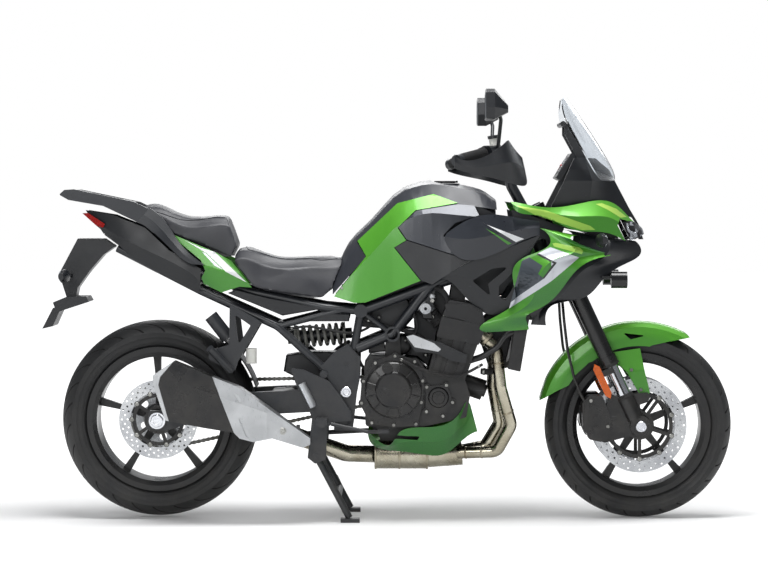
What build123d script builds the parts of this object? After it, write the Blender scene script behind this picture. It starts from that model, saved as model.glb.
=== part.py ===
"""A sport touring motorcycle standing on its centre stand, built from its real pieces.

Frame: +X forward, +Y to the rider's left, +Z up. The origin is on the floor under the middle of the
motorcycle's length. All lengths are millimetres. Side outlines are lists of (x, z) points.
"""

from math import acos, atan2, cos, hypot, pi, radians, sin, tan
import os

from build123d import *

# Driving dimensions of the running gear
FRONT_AXLE_X = 804.0
REAR_AXLE_X = -726.0
FRONT_TYRE_R = 299.0
REAR_TYRE_R = 313.0
REAR_LIFT = 6.0
FRONT_AXLE = (FRONT_AXLE_X, FRONT_TYRE_R)
REAR_AXLE = (REAR_AXLE_X, REAR_TYRE_R + REAR_LIFT)
FRONT_TYRE_W = 120.0
REAR_TYRE_W = 180.0
FRONT_RIM_W = 104.0
REAR_RIM_W = 156.0
FRONT_AXLE_R = 11.0
REAR_AXLE_R = 13.0
FRONT_DISC_Y = 74.0
REAR_DISC_Y = -95.0
HOLES_IN_ROW = 24
CHAIN_Y = 103.0
CHAIN_BIG_R = 109.0
CHAIN_SMALL_R = 42.0
CHAIN_FRONT = (-40.0, 400.0)
RIM_R = 224.0
BEAD_R = 214.0
FLANGE = 7.5

# Steering
RAKE = 25.0
FORK_LEAD = 5.0
FORK_OFFSET = 32.0
FORK_Y = 105.0
FORK_OUTER_R = 26.0
FORK_INNER_R = 20.5
STEM_R = 13.0

# Stands
FILLER = (186.0, 1069.0)
NECK_R = 47.0
STAND_PIVOT = (-224.0, 211.0)
STAND_LEG_Y = 150.0
STAND_SWING = 28.0

# Frame tubes and engine
FRAME_Y = 130.0
MAIN_TUBE_R = 16.0
SIDE_TUBE_R = 13.0
PIVOT_R = 12.0
SWING_PIVOT = (-129.0, 410.0)
CLUTCH = (20.0, 419.0)
PULSER = (162.0, 394.0)
CRANKCASE_Y = 156.0
BOSS_R = 10.0
CLUTCH_BOLTS = [
    (-57, 84),
    (5, 106),
    (67, 88),
    (92, 28),
    (88, -40),
    (71, -108),
    (1, -111),
    (-68, -104),
    (-100, -42),
    (-94, 27),
]
PULSER_BOLTS = [(-37, 33), (25, 39), (44, -15), (14, -58), (-38, -44)]
AXLE_FIT = 0.05

SKIN = 5.0
GAP = 1.0


def fork_x(z):
    """Where the fork's own axis is, at height z."""
    return FRONT_AXLE_X - FORK_LEAD - (z - FRONT_TYRE_R) * tan(radians(RAKE))


def steer_x(z):
    """Where the steering axis is, at height z."""
    return fork_x(z) - FORK_OFFSET / cos(radians(RAKE))


FORK_UP = Vector(-sin(radians(RAKE)), 0, cos(radians(RAKE)))


def fork_point(z, y=0.0, forward=0.0):
    """A point at height z on the fork's axis, moved forward square to the fork."""
    return Vector(
        fork_x(z) + forward * cos(radians(RAKE)), y, z + forward * sin(radians(RAKE))
    )


def rod(start, end, radius, bore=0.0):
    """A round bar or tube between two points."""
    a, b = Vector(*start), Vector(*end)
    plane = Plane(origin=a, z_dir=(b - a))
    section = Circle(radius)
    if bore:
        section -= Circle(bore)
    return extrude(plane * section, amount=(b - a).length)


def bend_path(points, radius, close=False):
    """Straight runs joined by tangent arcs, each arc no larger than its runs allow."""
    count = len(points)
    spots = [Vector(*p) for p in points]
    corners = []
    for i, spot in enumerate(spots):
        if not close and i in (0, count - 1):
            corners.append((spot, spot, spot))
            continue
        back = spots[i - 1] - spot
        ahead = spots[(i + 1) % count] - spot
        half = radians(back.get_angle(ahead)) / 2
        if half > radians(89.5):
            corners.append((spot, spot, spot))
            continue
        reach = min(radius / tan(half), 0.45 * back.length, 0.45 * ahead.length)
        towards = (back.normalized() + ahead.normalized()).normalized()
        arc_radius = reach * tan(half)
        middle = spot + towards * (arc_radius / sin(half) - arc_radius)
        corners.append((spot + back.normalized() * reach, middle, spot + ahead.normalized() * reach))
    edges = []
    for i, (start, middle, end) in enumerate(corners):
        if (start - end).length > 0.01:
            edges.append(Edge.make_three_point_arc(start, middle, end))
        if close or i < count - 1:
            following = corners[(i + 1) % count][0]
            if (following - end).length > 0.01:
                edges.append(Edge.make_line(end, following))
    return Wire(edges)


def tube(points, radius, bend, bore=0.0):
    """A tube bent through points, with one radius at every corner."""
    path = bend_path(points, bend)
    plane = Plane(origin=path @ 0, z_dir=path % 0)
    section = Circle(radius)
    if bore:
        section -= Circle(bore)
    return sweep(plane * section, path=path)


def slab(outline, y0, y1, corner=0.0):
    """A side outline of (x, z) points, between two distances from the middle."""
    points = [(x, y0, z) for x, z in outline]
    if corner:
        wire = bend_path(points, corner, close=True)
    else:
        wire = Wire.make_polygon([Vector(*p) for p in points], close=True)
    return extrude(Face(wire), amount=y1 - y0, dir=(0, 1, 0))


def disc(centre, y0, y1, radius, bore=0.0):
    """A round plate across the motorcycle."""
    x, z = centre
    return rod((x, y0, z), (x, y1, z), radius, bore)


def twin(shape):
    """A piece and its mirror image on the other side."""
    return shape + mirror(shape, about=Plane.XZ)


def right(shape):
    """The piece for the rider's right, from one made for the left."""
    return mirror(shape, about=Plane.XZ)


def panel(sections, thickness=SKIN, ruled=False):
    """A creased body panel. Each section is a straight line in the side view, given by its two ends
    (x, z) and the distances out at even or stated steps along it: [(share, y), ...]."""
    wires = []
    for start, end, steps in sections:
        outer = [
            (
                start[0] + share * (end[0] - start[0]),
                y,
                start[1] + share * (end[1] - start[1]),
            )
            for share, y in steps
        ]
        inner = [(x, y - thickness, z) for x, y, z in reversed(outer)]
        wires.append(Wire.make_polygon([Vector(*p) for p in outer + inner], close=True))
    return Solid.make_loft(wires, ruled=ruled)


def body_loft(stations, ruled=True):
    """A solid through cross sections. Each station is x and the half outline [(y, z), ...]
    from the middle of the top out and down to the bottom."""
    wires = []
    for x, half in stations:
        points = [Vector(x, y, z) for y, z in half]
        other = [Vector(x, -y, z) for y, z in reversed(half) if y > 0]
        wires.append(Wire.make_polygon(points + other, close=True))
    return Solid.make_loft(wires, ruled=ruled)


def gentle_slopes(xs, values):
    """Slopes of a curve through the values that never swings past them."""
    runs = [(b - a) / (xb - xa) for a, b, xa, xb in zip(values, values[1:], xs, xs[1:])]
    slopes = [runs[0]]
    for before, after in zip(runs, runs[1:]):
        slopes.append(0.0 if before * after <= 0 else 2 * before * after / (before + after))
    return slopes + [runs[-1]]


def curve_value(xs, values, slopes, i, share):
    """A value part of the way along span i of such a curve."""
    span = xs[i + 1] - xs[i]
    t2, t3 = share**2, share**3
    return (
        (2 * t3 - 3 * t2 + 1) * values[i]
        + (t3 - 2 * t2 + share) * span * slopes[i]
        + (3 * t2 - 2 * t3) * values[i + 1]
        + (t3 - t2) * span * slopes[i + 1]
    )


def finer(stations, steps):
    """More cross sections between the given ones, on smooth curves through their points."""
    xs = [x for x, half in stations]
    tracks = []
    for k in range(len(stations[0][1])):
        for part in (0, 1):
            values = [half[k][part] for x, half in stations]
            tracks.append((values, gentle_slopes(xs, values)))
    out = []
    for i in range(len(xs) - 1):
        for j in range(steps):
            share = j / steps
            flat = [curve_value(xs, values, slopes, i, share) for values, slopes in tracks]
            x = xs[i] + share * (xs[i + 1] - xs[i])
            out.append((x, list(zip(flat[0::2], flat[1::2]))))
    return out + [stations[-1]]


def inset(stations, amount, past=0.0):
    """The same stations, moved in from the sides and top, with the ends moved out past the old ones."""
    last = len(stations) - 1
    return [
        (
            x + (-past if i == 0 else past if i == last else 0),
            [(max(y - amount, 0) if y else 0, z - amount) for y, z in half],
        )
        for i, (x, half) in enumerate(stations)
    ]


def revolved_y(centre, profile):
    """A solid of revolution about the axle at centre. The profile is [(y, radius), ...]."""
    x, z = centre
    points = [(x, y, z + r) for y, r in profile]
    face = make_face(Polyline(*points, close=True))
    return revolve(face, axis=Axis((x, 0, z), (0, 1, 0)))


def around(shape, centre, count, start=0.0):
    """Copies of a shape, evenly turned about an axle across the motorcycle."""
    x, z = centre
    axis = Axis((x, 0, z), (0, 1, 0))
    return [shape.rotate(axis, start + 360.0 * i / count) for i in range(count)]


# Wheels


def tyre(axle, radius, width, rim_width):
    """A tyre with a round road section whose beads sit inside the rim's flanges."""
    x, z = axle
    half = width / 2
    seat = rim_width / 2 - FLANGE
    shoulder = radius - 0.21 * width
    crown = Edge.make_three_point_arc(
        Vector(x, -half, z + shoulder), Vector(x, 0, z + radius), Vector(x, half, z + shoulder)
    )
    side = [
        (half, shoulder),
        (half - 1, shoulder - 12),
        (half - 5, RIM_R + 22),
        (seat, RIM_R + 6),
        (seat, BEAD_R),
        (seat - 12, BEAD_R),
        (seat - 11, RIM_R + 8),
        (half - 13, RIM_R + 30),
        (half - 12, shoulder - 8),
        (0, radius - 14),
    ]
    other = [(-y, r) for y, r in reversed(side[:-1])]
    path = Polyline(*[(x, y, z + r) for y, r in side + other])
    face = Face(Wire([crown] + path.edges()))
    return revolve(face, axis=Axis((x, 0, z), (0, 1, 0)))


def rim(axle, width, hub_r, hub_half, bore_r, first_spoke):
    """A cast wheel: rim with flanges and a drop centre, hub, and five spokes that fork at the rim."""
    x, z = axle
    half = width / 2
    ring = [
        (half, RIM_R + 5),
        (half, RIM_R - 12),
        (half - 8, RIM_R - 26),
        (-half + 8, RIM_R - 26),
        (-half, RIM_R - 12),
        (-half, RIM_R + 5),
        (-half + FLANGE, RIM_R + 5),
        (-half + FLANGE, BEAD_R),
        (-half + FLANGE + 13, BEAD_R),
        (-half + FLANGE + 19, RIM_R - 19),
        (half - FLANGE - 19, RIM_R - 19),
        (half - FLANGE - 13, BEAD_R),
        (half - FLANGE, BEAD_R),
        (half - FLANGE, RIM_R + 5),
    ]
    wheel = revolved_y(axle, ring)
    wheel += revolved_y(
        axle,
        [
            (-hub_half, bore_r),
            (-hub_half, hub_r - 6),
            (-hub_half + 14, hub_r),
            (-16, hub_r - 12),
            (16, hub_r - 12),
            (hub_half - 14, hub_r),
            (hub_half, hub_r - 6),
            (hub_half, bore_r),
        ],
    )
    reach = RIM_R - 22
    spoke = slab(
        [
            (x - 14, z + hub_r - 16),
            (x + 14, z + hub_r - 16),
            (x + 8, z + reach * 0.6),
            (x + 13, z + reach),
            (x - 13, z + reach),
            (x - 8, z + reach * 0.6),
        ],
        -12,
        12,
    )
    for one in around(spoke, axle, 5, first_spoke):
        wheel += one
    return wheel


def brake_disc(axle, y, radius, inner_r, rows, thickness=4.5):
    """A brake disc ring with rows of round holes, each row turned against its neighbour."""
    x, z = axle
    ring = Circle(radius) - Circle(inner_r)
    for i, row_r in enumerate(rows):
        turn = i * 180.0 / HOLES_IN_ROW
        ring -= [place_at * Circle(3.2) for place_at in PolarLocations(row_r, HOLES_IN_ROW, turn)]
    plane = Plane(origin=(x, y - thickness / 2, z), x_dir=(1, 0, 0), z_dir=(0, 1, 0))
    return extrude(plane * ring, amount=thickness)


def disc_carrier(axle, y, ring_r, hub_r, hub_bore, arms, first):
    """The dark carrier inside a brake disc: a notched ring on arms, with a float button on each ear."""
    x, z = axle
    plan = Circle(ring_r) - Circle(ring_r - 12)
    plan += Circle(hub_r) - Circle(hub_bore)
    for i in range(arms):
        angle = first + 360.0 * i / arms
        plan += Rot(0, 0, angle) * Pos((ring_r + hub_r) / 2, 0) * Rectangle(ring_r - hub_r + 6, 11)
    for i in range(2 * arms):
        angle = first + 180.0 * i / arms
        plan += Rot(0, 0, angle) * Pos(ring_r + 1, 0) * Circle(8.5)
    plane = Plane(origin=(x, y, z), x_dir=(1, 0, 0), z_dir=(0, 1, 0))
    return extrude(plane * plan, amount=2.4, both=True)


# Body outlines shared by neighbours

TANK_KEYS = [
    (-172, [(0, 770), (60, 765), (108, 745), (138, 722), (146, 690)]),
    (-122, [(0, 880), (62, 868), (108, 832), (142, 770), (152, 690)]),
    (-50, [(0, 955), (72, 944), (116, 905), (150, 845), (164, 690)]),
    (55, [(0, 1058), (78, 1046), (126, 1008), (164, 950), (182, 740)]),
    (140, [(0, 1080), (84, 1066), (132, 1030), (174, 975), (190, 740)]),
    (230, [(0, 1067), (84, 1054), (132, 1010), (176, 968), (200, 745)]),
    (300, [(0, 1050), (78, 1038), (126, 1000), (172, 962), (200, 800)]),
    (348, [(0, 1018), (66, 1010), (110, 988), (160, 955), (196, 830)]),
]

TANK_STATIONS = finer(TANK_KEYS, 3)

TANK_COVER = [
    (-172, 716),
    (-67, 836),
    (-96, 884),
    (32, 1004),
    (147, 1033),
    (222, 1005),
    (348, 985),
    (360, 1100),
    (100, 1110),
    (-200, 900),
    (-200, 716),
]
TANK_GREEN = [
    (-94, 886),
    (33, 1006),
    (147, 1035),
    (223, 1007),
    (90, 984),
    (33, 928),
    (60, 889),
    (22, 866),
    (105, 762),
    (-67, 693),
    (-103, 691),
    (-168, 711),
    (-66, 838),
]
TANK_GLOSS = [
    (36, 929),
    (92, 982),
    (225, 1003),
    (276, 998),
    (290, 968),
    (214, 944),
    (176, 904),
    (256, 829),
    (63, 891),
]
TANK_LOWER = [(25, 866), (62, 888), (257, 826), (142, 750), (108, 763)]


def biggest(shape):
    """The largest solid of a cut shape, without its crumbs."""
    return max(shape.solids(), key=lambda solid: solid.volume)


def tank_skins():
    """The covers of the tank, all cut from one skin."""
    outside = body_loft(TANK_STATIONS)
    inside = body_loft(inset(TANK_STATIONS, SKIN, 3))
    below = Pos(0, 0, 600) * Box(1200, 600, 4)
    skin = outside - inside - below
    reach = 260.0
    cover = skin & slab(TANK_COVER, -reach, reach)
    for outline in (TANK_GREEN, TANK_GLOSS, TANK_LOWER):
        cover -= twin(slab(outline, 30, reach))
    cover -= filler_well()
    out = {"tank_cover": biggest(cover)}
    for name, outline in (
        ("tank_panel", TANK_GREEN),
        ("tank_side", TANK_GLOSS),
        ("tank_lower_panel", TANK_LOWER),
    ):
        left = biggest(skin & slab(outline, 30, reach))
        out[name] = left + right(left)
    return out


def filler_neck():
    """The ring of the tank's filler, in a well a little below the cover's top."""
    x, z = FILLER
    return Pos(x, 0, z - 25) * Cylinder(NECK_R, 50)


def filler_well():
    """The room round the filler's cap, through the cover."""
    x, z = FILLER
    return Pos(x, 0, z) * Cylinder(NECK_R, 100)


def fuel_tank():
    """The tank itself, under its covers, clear of the frame's rails."""
    stations = [
        (x, [(y, max(z, 715 + 0.28 * (x + 120))) for y, z in half])
        for x, half in inset(TANK_KEYS[1:], SKIN + GAP + 3)
    ]
    core = body_loft(stations)
    core &= slab([(-120, 726), (40, 765), (345, 850), (345, 1090), (-120, 1090)], -115, 115)
    return core + filler_neck()


def rider_seat():
    """The rider's seat, dished and drawn in towards the tank."""
    stations = [
        (-486, [(0, 856), (95, 850), (140, 828), (150, 745), (150, 690)]),
        (-465, [(0, 866), (95, 860), (142, 836), (152, 745), (152, 690)]),
        (-380, [(0, 840), (98, 836), (142, 812), (156, 735), (158, 690)]),
        (-285, [(0, 829), (92, 826), (132, 802), (152, 725), (156, 690)]),
        (-205, [(0, 832), (76, 829), (110, 804), (140, 720), (146, 690)]),
        (-128, [(0, 852), (60, 848), (88, 822), (120, 760), (130, 690)]),
    ]
    side = [
        (-486, 818),
        (-486, 853),
        (-470, 900),
        (-129, 900),
        (-129, 862),
        (-104, 828),
        (-178, 722),
        (-200, 702),
        (-418, 739),
        (-430, 746),
    ]
    return body_loft(stations, ruled=False) & slab(side, -200, 200)


def seat_pair():
    """Both seats, the rider's cut back from the tank's covers and from the pillion's seat."""
    pillion = pillion_seat()
    rider = rider_seat() - body_loft(TANK_STATIONS) - pillion
    return biggest(rider), pillion


def pillion_seat():
    """The pillion's raised seat."""
    stations = [
        (-800, [(0, 981), (60, 976), (84, 962), (88, 900)]),
        (-656, [(0, 967), (92, 960), (122, 938), (130, 860)]),
        (-590, [(0, 959), (98, 954), (128, 930), (136, 820)]),
        (-522, [(0, 963), (96, 957), (124, 934), (138, 800)]),
        (-470, [(0, 868), (96, 864), (128, 850), (142, 790)]),
    ]
    side = [
        (-800, 962),
        (-800, 1000),
        (-522, 1000),
        (-474, 868),
        (-492, 828),
        (-544, 855),
        (-694, 917),
        (-713, 947),
    ]
    return body_loft(stations, ruled=False) & slab(side, -180, 180)


def tail_green():
    """The coloured panel under the pillion seat, left side."""
    mass = panel(
        [
            ((-579, 749), (-694, 915), [(0, 138), (0.5, 136), (1, 122)]),
            ((-522, 722), (-640, 893), [(0, 152), (0.5, 150), (1, 132)]),
            ((-465, 728), (-544, 853), [(0, 160), (0.5, 160), (1, 146)]),
            ((-424, 738), (-492, 826), [(0, 165), (0.5, 164), (1, 158)]),
        ]
    )
    side = [
        (-694, 913),
        (-544, 852),
        (-492, 825),
        (-426, 740),
        (-465, 743),
        (-522, 724),
        (-579, 751),
        (-586, 770),
        (-574, 793),
        (-587, 825),
        (-647, 874),
    ]
    return mass & slab(side, 60, 240)


def side_cover():
    """The plain cover under the rider's seat, left side."""
    return panel(
        [
            ((-500, 700), (-523, 724), [(0, 146), (0.5, 148), (1, 150)]),
            ((-353, 636), (-467, 740), [(0, 148), (0.5, 156), (1, 158)]),
            ((-270, 652), (-300, 704), [(0, 150), (0.5, 158), (1, 158)]),
            ((-194, 669), (-192, 679), [(0, 150), (0.5, 151), (1, 151)]),
        ]
    )


def tail_cowl():
    """The dark tail side panel, left side."""
    mass = panel(
        [
            ((-929, 935), (-962, 984), [(0, 58), (0.45, 62), (1, 50)]),
            ((-812, 833), (-880, 972), [(0, 80), (0.45, 98), (1, 84)]),
            ((-700, 772), (-760, 925), [(0, 104), (0.45, 120), (1, 104)]),
            ((-600, 730), (-588, 800), [(0, 130), (0.45, 136), (1, 130)]),
            ((-588, 731), (-580, 770), [(0, 134), (0.45, 138), (1, 136)]),
        ]
    )
    side = [
        (-962, 984),
        (-929, 936),
        (-878, 896),
        (-812, 833),
        (-621, 732),
        (-590, 732),
        (-590, 798),
        (-640, 830),
        (-690, 856),
        (-770, 930),
        (-830, 962),
    ]
    return mass & slab(side, 20, 200)


def under_tray():
    """The floor of the tail between its side panels."""
    floor = slab(
        [(-900, 905), (-812, 840), (-600, 742), (-598, 750), (-812, 850), (-898, 916)],
        -70,
        70,
    )
    end = slab([(-948, 972), (-905, 908), (-897, 914), (-938, 974)], -44, 44)
    return floor + end


def carrier():
    """The rear carrier with the grab rails that run down beside the seat."""
    side = [
        (-1039, 1033),
        (-1022, 1048),
        (-992, 1050),
        (-801, 1010),
        (-736, 979),
        (-714, 950),
        (-575, 811),
        (-612, 813),
        (-687, 866),
        (-768, 935),
        (-823, 961),
        (-899, 997),
        (-1009, 1016),
    ]
    behind = slab([(-1060, 900), (-740, 900), (-740, 1100), (-1060, 1100)], 90, 130)
    rail = slab(side, 100, 122, corner=4) & behind
    grab = panel(
        [
            ((-790, 947), (-752, 990), [(0, 122), (0.5, 123), (1, 122)]),
            ((-768, 935), (-730, 976), [(0, 126), (0.5, 127), (1, 126)]),
            ((-687, 866), (-672, 905), [(0, 148), (0.5, 150), (1, 148)]),
            ((-612, 813), (-575, 811), [(0, 158), (0.5, 160), (1, 158)]),
        ],
        thickness=22,
    )
    plate = slab(
        [(-1030, 1040), (-992, 1048), (-806, 1009), (-808, 999), (-992, 1036), (-1026, 1028)],
        -100,
        100,
    )
    for y in (-62, 0, 62):
        plate -= Pos(-900, y, 1025) * Box(96, 36, 120)
    for x in (-966, -834):
        for y in (-75, 75):
            plate -= Pos(x, y, 1025) * Cylinder(3.5, 120)
    return twin(rail + grab) + plate


def tail_lamp():
    """The rear lamp, wrapped round the end of the tail."""
    side = [(-972, 974), (-952, 974), (-897, 940), (-903, 928), (-925, 934)]
    lens = slab(side, -86, 86)
    plan = extrude(
        make_face(
            Polyline(
                (-980, -52, 900),
                (-980, 52, 900),
                (-890, 92, 900),
                (-890, 64, 900),
                (-946, 50, 900),
                (-946, -50, 900),
                (-890, -64, 900),
                (-890, -92, 900),
                close=True,
            )
        ),
        amount=100,
        dir=(0, 0, 1),
    )
    return lens & plan


def rear_fender():
    """The rear mudguard arm that carries the plate and the rear indicators."""
    arm = slab(
        [
            (-988, 893),
            (-905, 893),
            (-868, 868),
            (-905, 842),
            (-949, 791),
            (-988, 736),
            (-996, 700),
            (-1022, 700),
            (-1048, 780),
        ],
        -42,
        42,
        corner=4,
    )
    hood = slab([(-1064, 690), (-1052, 658), (-948, 692), (-958, 709), (-1020, 708)], -75, 75, corner=3)
    flap = slab([(-1064, 672), (-1098, 606), (-1064, 614), (-1042, 664)], -72, 72)
    return arm + hood + flap


def indicator(x, z, y0, y1, sweep_back):
    """A turn signal on its stalk."""
    stalk = rod((x, y0, z), (x + sweep_back * 0.3, y1 - 60, z), 7)
    body = loft(
        [
            Plane(origin=(x + sweep_back * 0.2, y1 - 66, z), z_dir=(0, 1, 0)) * Ellipse(16, 12),
            Plane(origin=(x + sweep_back * 0.6, y1 - 30, z), z_dir=(0, 1, 0)) * Ellipse(22, 16),
            Plane(origin=(x + sweep_back, y1, z), z_dir=(0, 1, 0)) * Ellipse(12, 8),
        ]
    )
    return stalk + body


def upper_cowl():
    """The coloured upper cowl over the lamps, left side."""
    mass = panel(
        [
            ((392, 1004), (386, 1011), [(0, 217), (0.5, 218), (1, 216)]),
            ((460, 969), (470, 996), [(0, 222), (0.5, 221), (1, 214)]),
            ((540, 942), (560, 996), [(0, 212), (0.5, 208), (1, 182)]),
            ((611, 918), (644, 1012), [(0, 196), (0.5, 188), (1, 132)]),
            ((676, 915), (703, 1012), [(0, 166), (0.5, 158), (1, 96)]),
            ((736, 896), (752, 982), [(0, 130), (0.5, 124), (1, 64)]),
            ((778, 890), (791, 944), [(0, 92), (0.5, 88), (1, 46)]),
        ]
    )
    return mass - slab([(729, 936), (738, 957), (800, 940), (840, 900), (800, 870), (756, 886)], 0, 240)


def lamp_unit():
    """A headlamp lens, left side."""
    body = panel(
        [
            ((772, 886), (742, 952), [(0, 104), (0.5, 108), (1, 92)]),
            ((800, 896), (782, 948), [(0, 76), (0.5, 80), (1, 58)]),
            ((822, 908), (818, 924), [(0, 30), (0.5, 30), (1, 24)]),
        ],
        thickness=16,
    )
    return body


def inner_cowl():
    """The dark nose and screen base, one shell open to the rear."""

    def section(z, rear_x, rear_y, mid_x, mid_y, nose_x, nose_y):
        half = [(rear_x, rear_y), (mid_x, mid_y), (nose_x, nose_y)]
        points = [Vector(x, y, z) for x, y in half]
        points += [Vector(x, -y, z) for x, y in reversed(half)]
        return Wire.make_polygon(points, close=True)

    levels = [
        (890, 690, 80, 770, 50, 822, 12),
        (940, 560, 150, 690, 110, 806, 16),
        (991, 515, 172, 640, 120, 775, 20),
        (1077, 559, 168, 650, 122, 729, 30),
        (1112, 574, 160, 640, 120, 711, 34),
        (1150, 592, 140, 630, 112, 668, 36),
    ]
    outside = Solid.make_loft([section(*level) for level in levels], ruled=True)
    hollow = []
    for z, rear_x, rear_y, mid_x, mid_y, nose_x, nose_y in levels:
        extra = -1 if z == levels[0][0] else (1 if z == levels[-1][0] else 0)
        hollow.append(
            (z + extra, rear_x - 60, rear_y - 4, mid_x - 7, mid_y - 5, nose_x - 8, max(nose_y - 4, 5))
        )
    inside = Solid.make_loft([section(*level) for level in hollow], ruled=True)
    shell = outside - inside
    lamps = slab([(734, 880), (734, 962), (782, 962), (835, 925), (835, 880)], 12, 260)
    return shell - twin(lamps)


def windscreen():
    """The clear screen, a curved sheet that stands off its base."""

    def crescent(edge_x, edge_y, edge_z, mid_x, mid_z, thick=4.0):
        inwards = Vector(edge_x - mid_x, 0, edge_z - mid_z).normalized() * thick
        left = Vector(edge_x, edge_y, edge_z)
        other = Vector(edge_x, -edge_y, edge_z)
        middle = Vector(mid_x, 0, mid_z)
        outer = Edge.make_three_point_arc(other, middle, left)
        inner = Edge.make_three_point_arc(left + inwards, middle + inwards, other + inwards)
        ends = [Edge.make_line(left, left + inwards), Edge.make_line(other + inwards, other)]
        return Face(Wire([outer, ends[0], inner, ends[1]]))

    return loft(
        [
            crescent(706, 52, 1078, 724, 1070),
            crescent(652, 138, 1116, 722, 1118),
            crescent(612, 160, 1184, 684, 1184),
            crescent(580, 160, 1240, 644, 1246),
            crescent(562, 118, 1290, 606, 1302),
            crescent(560, 40, 1338, 574, 1349),
        ]
    )


def side_cowl():
    """The coloured side cowl with its forward wing, left side."""
    return panel(
        [
            ((474, 929), (600, 905), [(0, 204), (0.45, 206), (1, 186)]),
            ((512, 886), (654, 860), [(0, 222), (0.45, 232), (1, 196)]),
            ((490, 862), (704, 844), [(0, 226), (0.45, 238), (1, 160)]),
            ((417, 828), (650, 830), [(0, 214), (0.45, 248), (1, 206)]),
            ((398, 750), (556, 749), [(0, 206), (0.45, 240), (1, 222)]),
            ((381, 675), (473, 673), [(0, 200), (0.45, 218), (1, 212)]),
            ((291, 613), (440, 630), [(0, 190), (0.45, 202), (1, 200)]),
            ((313, 600), (445, 609), [(0, 186), (0.45, 196), (1, 194)]),
        ]
    )


def lower_cowl():
    """The dark cowl behind the coloured one, from the nose down, left side."""
    return panel(
        [
            ((560, 922), (790, 878), [(0, 150), (0.5, 120), (1, 44)]),
            ((600, 870), (808, 868), [(0, 182), (0.5, 160), (1, 48)]),
            ((560, 832), (804, 838), [(0, 196), (0.5, 178), (1, 60)]),
            ((520, 800), (726, 800), [(0, 206), (0.5, 198), (1, 140)]),
            ((470, 735), (655, 735), [(0, 206), (0.5, 206), (1, 172)]),
            ((440, 680), (595, 702), [(0, 192), (0.5, 196), (1, 180)]),
            ((452, 624), (500, 622), [(0, 180), (0.5, 186), (1, 184)]),
        ]
    )


def vent_panel():
    """The dark panel with slots between the tank and the side cowl, left side."""
    mass = panel(
        [
            ((142, 745), (150, 752), [(0, 178), (0.5, 180), (1, 182)]),
            ((240, 718), (265, 822), [(0, 172), (0.5, 186), (1, 194)]),
            ((345, 656), (380, 866), [(0, 166), (0.5, 184), (1, 200)]),
            ((390, 690), (430, 886), [(0, 176), (0.5, 190), (1, 204)]),
            ((416, 826), (480, 904), [(0, 204), (0.5, 207), (1, 210)]),
        ]
    )
    slot_a = slab([(268, 762), (330, 800), (382, 806), (318, 752), (326, 712)], 100, 260, corner=4)
    slot_b = slab([(352, 745), (404, 796), (396, 740), (372, 700), (352, 712)], 100, 260, corner=4)
    return mass - slot_a - slot_b


def fairing_lining():
    """The dark lining that closes the gap between the gloss panel and the cowls, left side."""
    return panel(
        [
            ((400, 930), (392, 986), [(0, 176), (0.5, 176), (1, 176)]),
            ((470, 900), (470, 960), [(0, 172), (0.5, 172), (1, 172)]),
            ((540, 880), (560, 930), [(0, 164), (0.5, 160), (1, 152)]),
        ],
        thickness=4,
        ruled=True,
    )


def fairing_side():
    """The gloss panel under the upper cowl, left side."""
    return panel(
        [
            ((179, 896), (186, 910), [(0, 200), (0.5, 200), (1, 198)]),
            ((266, 827), (290, 966), [(0, 206), (0.5, 216), (1, 190)]),
            ((380, 867), (378, 966), [(0, 214), (0.5, 220), (1, 194)]),
            ((478, 905), (478, 950), [(0, 216), (0.5, 216), (1, 204)]),
        ]
    )


def fog_lamp():
    """The small extra lamp on its bracket under the nose, left side."""
    bracket = slab([(676, 776), (740, 776), (740, 770), (676, 770)], 146, 176)
    body = rod((706, 168, 764), (756, 168, 764), 26) - rod((750, 168, 764), (760, 168, 764), 22)
    return bracket + body


def slider_bar():
    """The bar that keeps the engine off the ground in a fall, left side."""
    outline = [(59, 583), (76, 590), (168, 570), (251, 530), (247, 504), (199, 513), (159, 535), (89, 541)]
    bar = slab(outline, 196, 222, corner=5)
    stay = rod((120, 170.5, 556), (120, 197, 556), 14) + rod((205, 183, 530), (205, 197, 530), 12)
    return bar + stay


def rear_caliper():
    """The rear caliper on its bracket, above the swingarm's end on the right side."""
    body = slab([(-640, 430), (-600, 410), (-604, 384), (-652, 378), (-664, 404)], -113, -74, corner=6)
    return body - disc(REAR_AXLE, REAR_DISC_Y - 8, REAR_DISC_Y + 8, 132)


def meter():
    """The instrument display."""
    return slab([(586, 1166), (600, 1160), (553, 1078), (536, 1086)], -85, 85, corner=3)


def screen_bracket():
    """The carrier behind the screen with its accessory bar."""
    post = slab([(566, 1262), (578, 1266), (650, 1130), (618, 1130), (566, 1225)], 60, 68)
    bar = rod((560, -90, 1258), (560, 90, 1258), 9)
    return twin(post) + bar


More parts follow.
